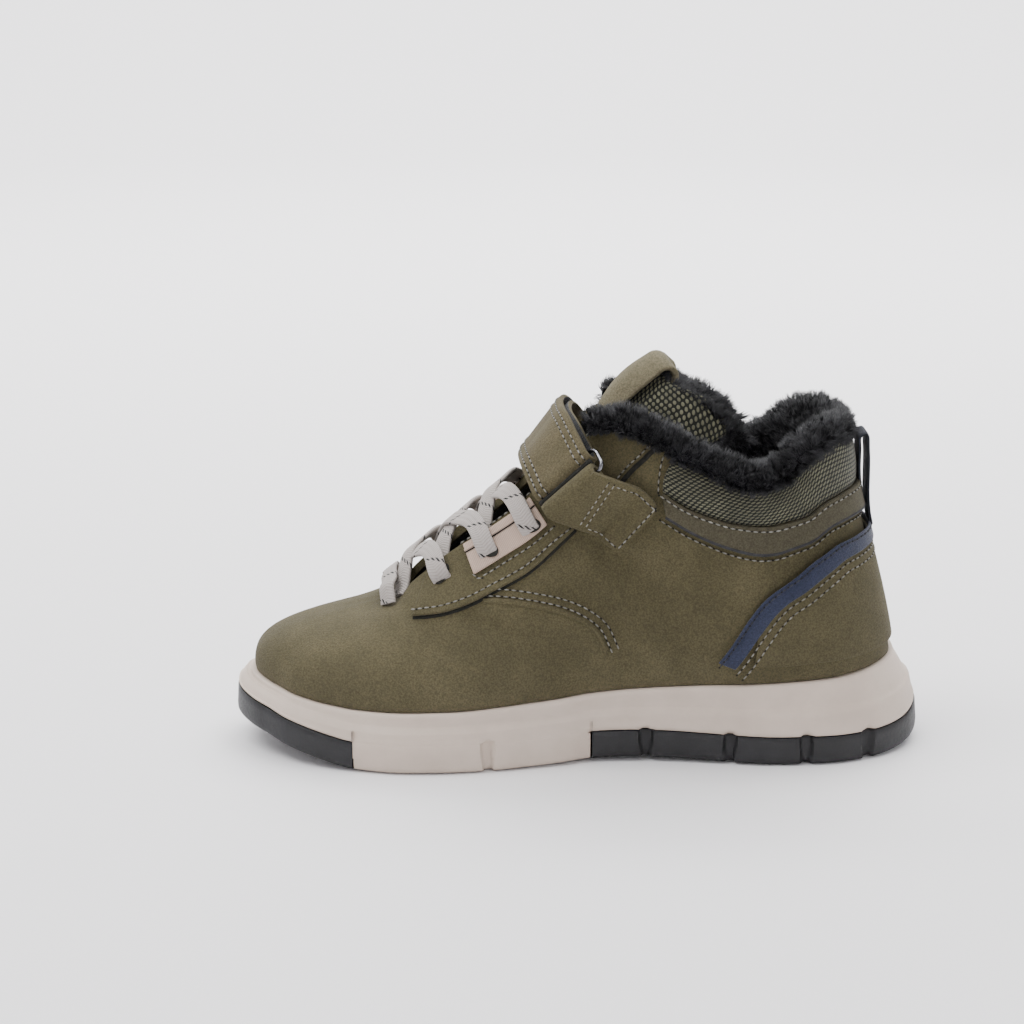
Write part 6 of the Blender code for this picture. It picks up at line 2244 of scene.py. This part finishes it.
    def wire_ring(self) -> None:
        """Model the long wire ring and a dark bar of painted shadow beside it."""
        centre, along, out, across = self.seat_of_ring()
        reach = self.layer + self.thick + 2 * self.gap
        half = self.width / 2 + self.wire * 0.30
        corner = self.wire * 0.9
        path = []
        for a, b, turn in ((-1, -1, math.pi), (1, -1, 1.5 * math.pi), (1, 1, 0),
                           (-1, 1, 0.5 * math.pi)):
            base = (a * (half - corner), (b + 1) / 2 * reach - b * corner)
            for angle in turn + np.linspace(0, math.pi / 2, 7):
                path.append((base[0] + math.cos(angle) * corner,
                             base[1] + math.sin(angle) * corner))
        path = np.array([centre + across * (x + self.shift) + along * y for x, y in path])
        outs = np.broadcast_to(out, path.shape)
        thin = self.wire * 0.24
        ring = tube("wire_ring", path, outs, (thin, thin), 14, closed=True)
        dress(ring, Finish.STEEL, "ring_metal", ["strap_ring"])
        # Dark bar of painted shadow where the ring sits between strap and anchor.
        spans = np.linspace(-0.49, 0.47, 12) * self.width
        line = np.array([centre + across * x + along * reach / 2 + out * 0.0012 for x in spans])
        gap = tube("ring_shadow", line, np.broadcast_to(out, line.shape), (0.0010, 0.0008), 10)
        dress(gap, Finish.GROOVE, "strap_nubuck")

    def anchor_strap(self) -> None:
        """Model the short strap that holds the ring, with its sewn patch."""
        centre, along, out, across = self.seat_of_ring()
        bar = centre + along * (self.layer + self.thick + 2 * self.gap)
        radius = self.wire / 2 + self.gap + self.thick / 2
        hook = [bar - along * math.cos(a) * radius - out * math.sin(a) * radius
                for a in np.linspace(1.7, 0.0, 8)]
        hook += [bar - along * math.cos(a) * radius + out * math.sin(a) * radius
                 for a in np.linspace(0.25, 2.5, 9)]
        hook_out = [unit(point - bar) for point in hook]
        seat = self.seat + self.cover + self.gap + self.thick / 2 + self.anchor_ease
        flat = [self.on_wall(*row, Side.MEDIAL, seat) for row in self.anchor]
        points = np.array(hook + [p for p, _ in flat])
        outs = np.array(hook_out + [n for _, n in flat])
        run = run_of(points)
        at = np.linspace(0, run[-1], 70)
        points, outs = read_at(at, run, points), read_at(at, run, outs)
        for _ in range(6):
            points[1:-1] = (points[:-2] + 2 * points[1:-1] + points[2:]) / 4
            outs[1:-1] = (outs[:-2] + 2 * outs[1:-1] + outs[2:]) / 4
        ahead = unit(np.gradient(points, axis=0))
        ways = unit(across - ahead * (ahead @ across)[:, None])
        outs = unit(outs - ways * np.sum(outs * ways, axis=1, keepdims=True))
        half = (self.anchor_width / 2, self.thick / 2)
        to_end = np.clip(1 - (run[-1] - at) / self.corner, 0, 1)
        taper = 1 - self.corner / half[0] * (1 - np.sqrt(np.clip(1 - to_end ** 2, 0, 1)))
        piece = tube("anchor_cover", points, outs, half, 28, 0.28, taper=taper)
        dress(piece, Finish.OLIVE, "strap_nubuck", ["strap_anchor"])
        thread = Stitching("anchor_stitches", pitch=0.0023)
        rows = []
        face = points + outs * (self.thick / 2)
        near = int(self.patch / at[1])
        for aside in (-1, 1):
            line = face + ways * aside * (half[0] - 0.0018)
            rows.append(self.even(line[-near:-2], ahead[-near:-2], outs[-near:-2], thread.pitch))
        for back in (2, near, near + 4):
            ends = [face[-back - 1] + ways[-back - 1] * side * (half[0] - 0.0018)
                    for side in np.linspace(-1, 1, 12)]
            turned = np.broadcast_to(ways[-back - 1], (12, 3))
            rows.append(self.even(np.array(ends), turned,
                                  np.broadcast_to(outs[-back - 1], (12, 3)), thread.pitch))
        thread.build(rows, "strap_nubuck")

    def build(self) -> None:
        """Model and dress the strap, the ring and the anchor."""
        self.strap()
        self.wire_ring()
        self.anchor_strap()


@dataclass
class HeelLoop:
    """Folded webbing loop at the heel."""

    low: float = 71.6
    high: float = 100.8
    width: float = 0.0120
    thick: float = 0.0010
    bulge: float = 0.0030
    lean: float = 0.0014

    def build(self) -> None:
        """Model and dress the loop."""
        heights = np.linspace(0, 1, 9)
        outer, inner = [], []
        for share in heights:
            t = np.array([LAST.back_share((self.low + (self.high - self.low) * share) * MM)])
            v = np.array([float(LAST_ROW)])
            off = 0.0024 + self.bulge * ease(np.array([share / 0.85]))
            outer.append(LAST.lift(v, t, off)[0])
            near = 0.0014 + self.lean * ease(np.array([(share - 0.4) / 0.6]))
            inner.append(LAST.lift(v, t, near)[0])
        top = (outer[-1] + inner[-1]) / 2 + np.array([0.0004, 0, 0.0012])
        rows = np.array(outer + [top] + inner[::-1][:6])
        centre = along_rows(rows, np.linspace(0, 1, 90))
        ahead = unit(np.gradient(centre, axis=0))
        outs = unit(np.cross(np.broadcast_to((0.0, 1.0, 0.0), centre.shape), ahead))
        piece = tube("heel_pull_loop", centre, outs, (self.width / 2, self.thick / 2), 20, 0.3)
        dress(piece, Finish.WEBBING, "webbing", ["pull_loop"])


@dataclass
class Footbed:
    """Lined insole on the sole."""

    inset: float = 0.0049
    thick: float = 0.0030
    seat: float = 0.0003

    def place(self, u: Array, v: Array) -> Array:
        """Point of the footbed's top face."""
        row = u * LAST_ROW
        inset = cyclic(LAST.flares, row)[:, 0] + self.inset
        top = cyclic(LAST.tops, row)[:, 0] + self.seat + self.thick
        ends = [LAST.ring(w, inset, top) for w in (row, LOOP_ROWS - row)]
        points = ends[0] * (1 - v[:, None]) + ends[1] * v[:, None]
        points[:, 2] -= 0.0006 * np.sin(math.pi * v)
        return points

    def build(self) -> None:
        """Model and dress the footbed."""
        piece = Sheet("footbed", (60, 24), self.place, thick=self.thick * 0.9, bevel=0.0005,
                      turned=True).build()
        dress(piece, Finish.LINING, "lining", ["insole"])


@dataclass
class Studio:
    """Plain pale floor, soft light and the photograph's camera."""

    eye: tuple[float, float, float] = (-0.0218783, -0.7686219, 0.2664790)
    tilt: float = 76.0
    lens: float = 85.0

    def floor(self) -> None:
        """Floor that turns up softly behind the boot."""
        def place(u: Array, v: Array) -> Array:
            """Point of the floor and of the round wall about it."""
            flat, turn, wall = 1.9, 1.2, 1.4
            run = v * (flat + turn + wall)
            angle = np.clip((run - flat) / turn, 0, 1) * math.pi / 2
            radius = turn / (math.pi / 2)
            rise = radius * (1 - np.cos(angle)) + np.clip(run - flat - turn, 0, None)
            reach = np.minimum(run, flat) + radius * np.sin(angle)
            way = 2 * math.pi * u
            return np.column_stack([reach * np.cos(way), reach * np.sin(way), rise - 0.0002])
        floor = Sheet("floor", (72, 60), place, closed=True).build()
        shader = Shader("pale_floor")
        floor.data.materials.append(shader.finish((0.84, 0.83, 0.84), 0.6,
                                                  Specular_IOR_Level=0.3))

    def light(self, name: str, place: tuple[float, float, float], size: float, power: float,
              at: tuple[float, float, float] = (0.0, 0.0, 0.05)) -> None:
        """Soft square light aimed at the boot or at another place."""
        data = bpy.data.lights.new(name, "AREA")
        data.size = size
        data.energy = power
        lamp = bpy.data.objects.new(name, data)
        bpy.context.collection.objects.link(lamp)
        lamp.location = place
        lamp.rotation_euler = aim_angles(np.array(at) - np.array(place))

    def build(self) -> None:
        """Set the floor, the lights and the camera."""
        self.floor()
        self.light("key_light", (-0.8, -0.15, 1.6), 1.0, 30.0)
        self.light("fill_light", (0.9, -1.3, 0.8), 1.2, 3.0)
        self.light("top_light", (0.5, 0.6, 1.8), 1.6, 40.0)
        self.light("back_light", (0.0, 1.3, 1.6), 1.8, 72.0, (0.0, 2.5, 0.0))
        world = bpy.data.worlds.new("soft_sky")
        world.use_nodes = True
        world.node_tree.nodes["Background"].inputs["Color"].default_value = (0.95, 0.96, 1, 1)
        world.node_tree.nodes["Background"].inputs["Strength"].default_value = 0.46
        bpy.context.scene.world = world
        data = bpy.data.cameras.new("camera")
        data.lens = self.lens
        camera = bpy.data.objects.new("camera", data)
        camera.location = self.eye
        camera.rotation_euler = (math.radians(self.tilt), 0, 0)
        bpy.context.collection.objects.link(camera)
        bpy.context.scene.camera = camera


def aim_angles(aim: Array) -> tuple[float, float, float]:
    """Turns of a lamp that shines along a way."""
    flat = math.hypot(aim[0], aim[1])
    return math.atan2(flat, -aim[2]), 0.0, math.atan2(-aim[0], aim[1])


def main() -> None:
    """Build the boot piece by piece."""
    logging.basicConfig(level=logging.INFO, format="%(name)s: %(message)s")
    Studio().build()
    for part in (SoleUnit(), Footbed(), UpperShell(), FurCollar(), Tongue(), Laces(),
                 InstepStrap(), HeelLoop()):
        part.build()
        LOG.info("built %s", type(part).__name__)


if __name__ == "__main__":
    main()
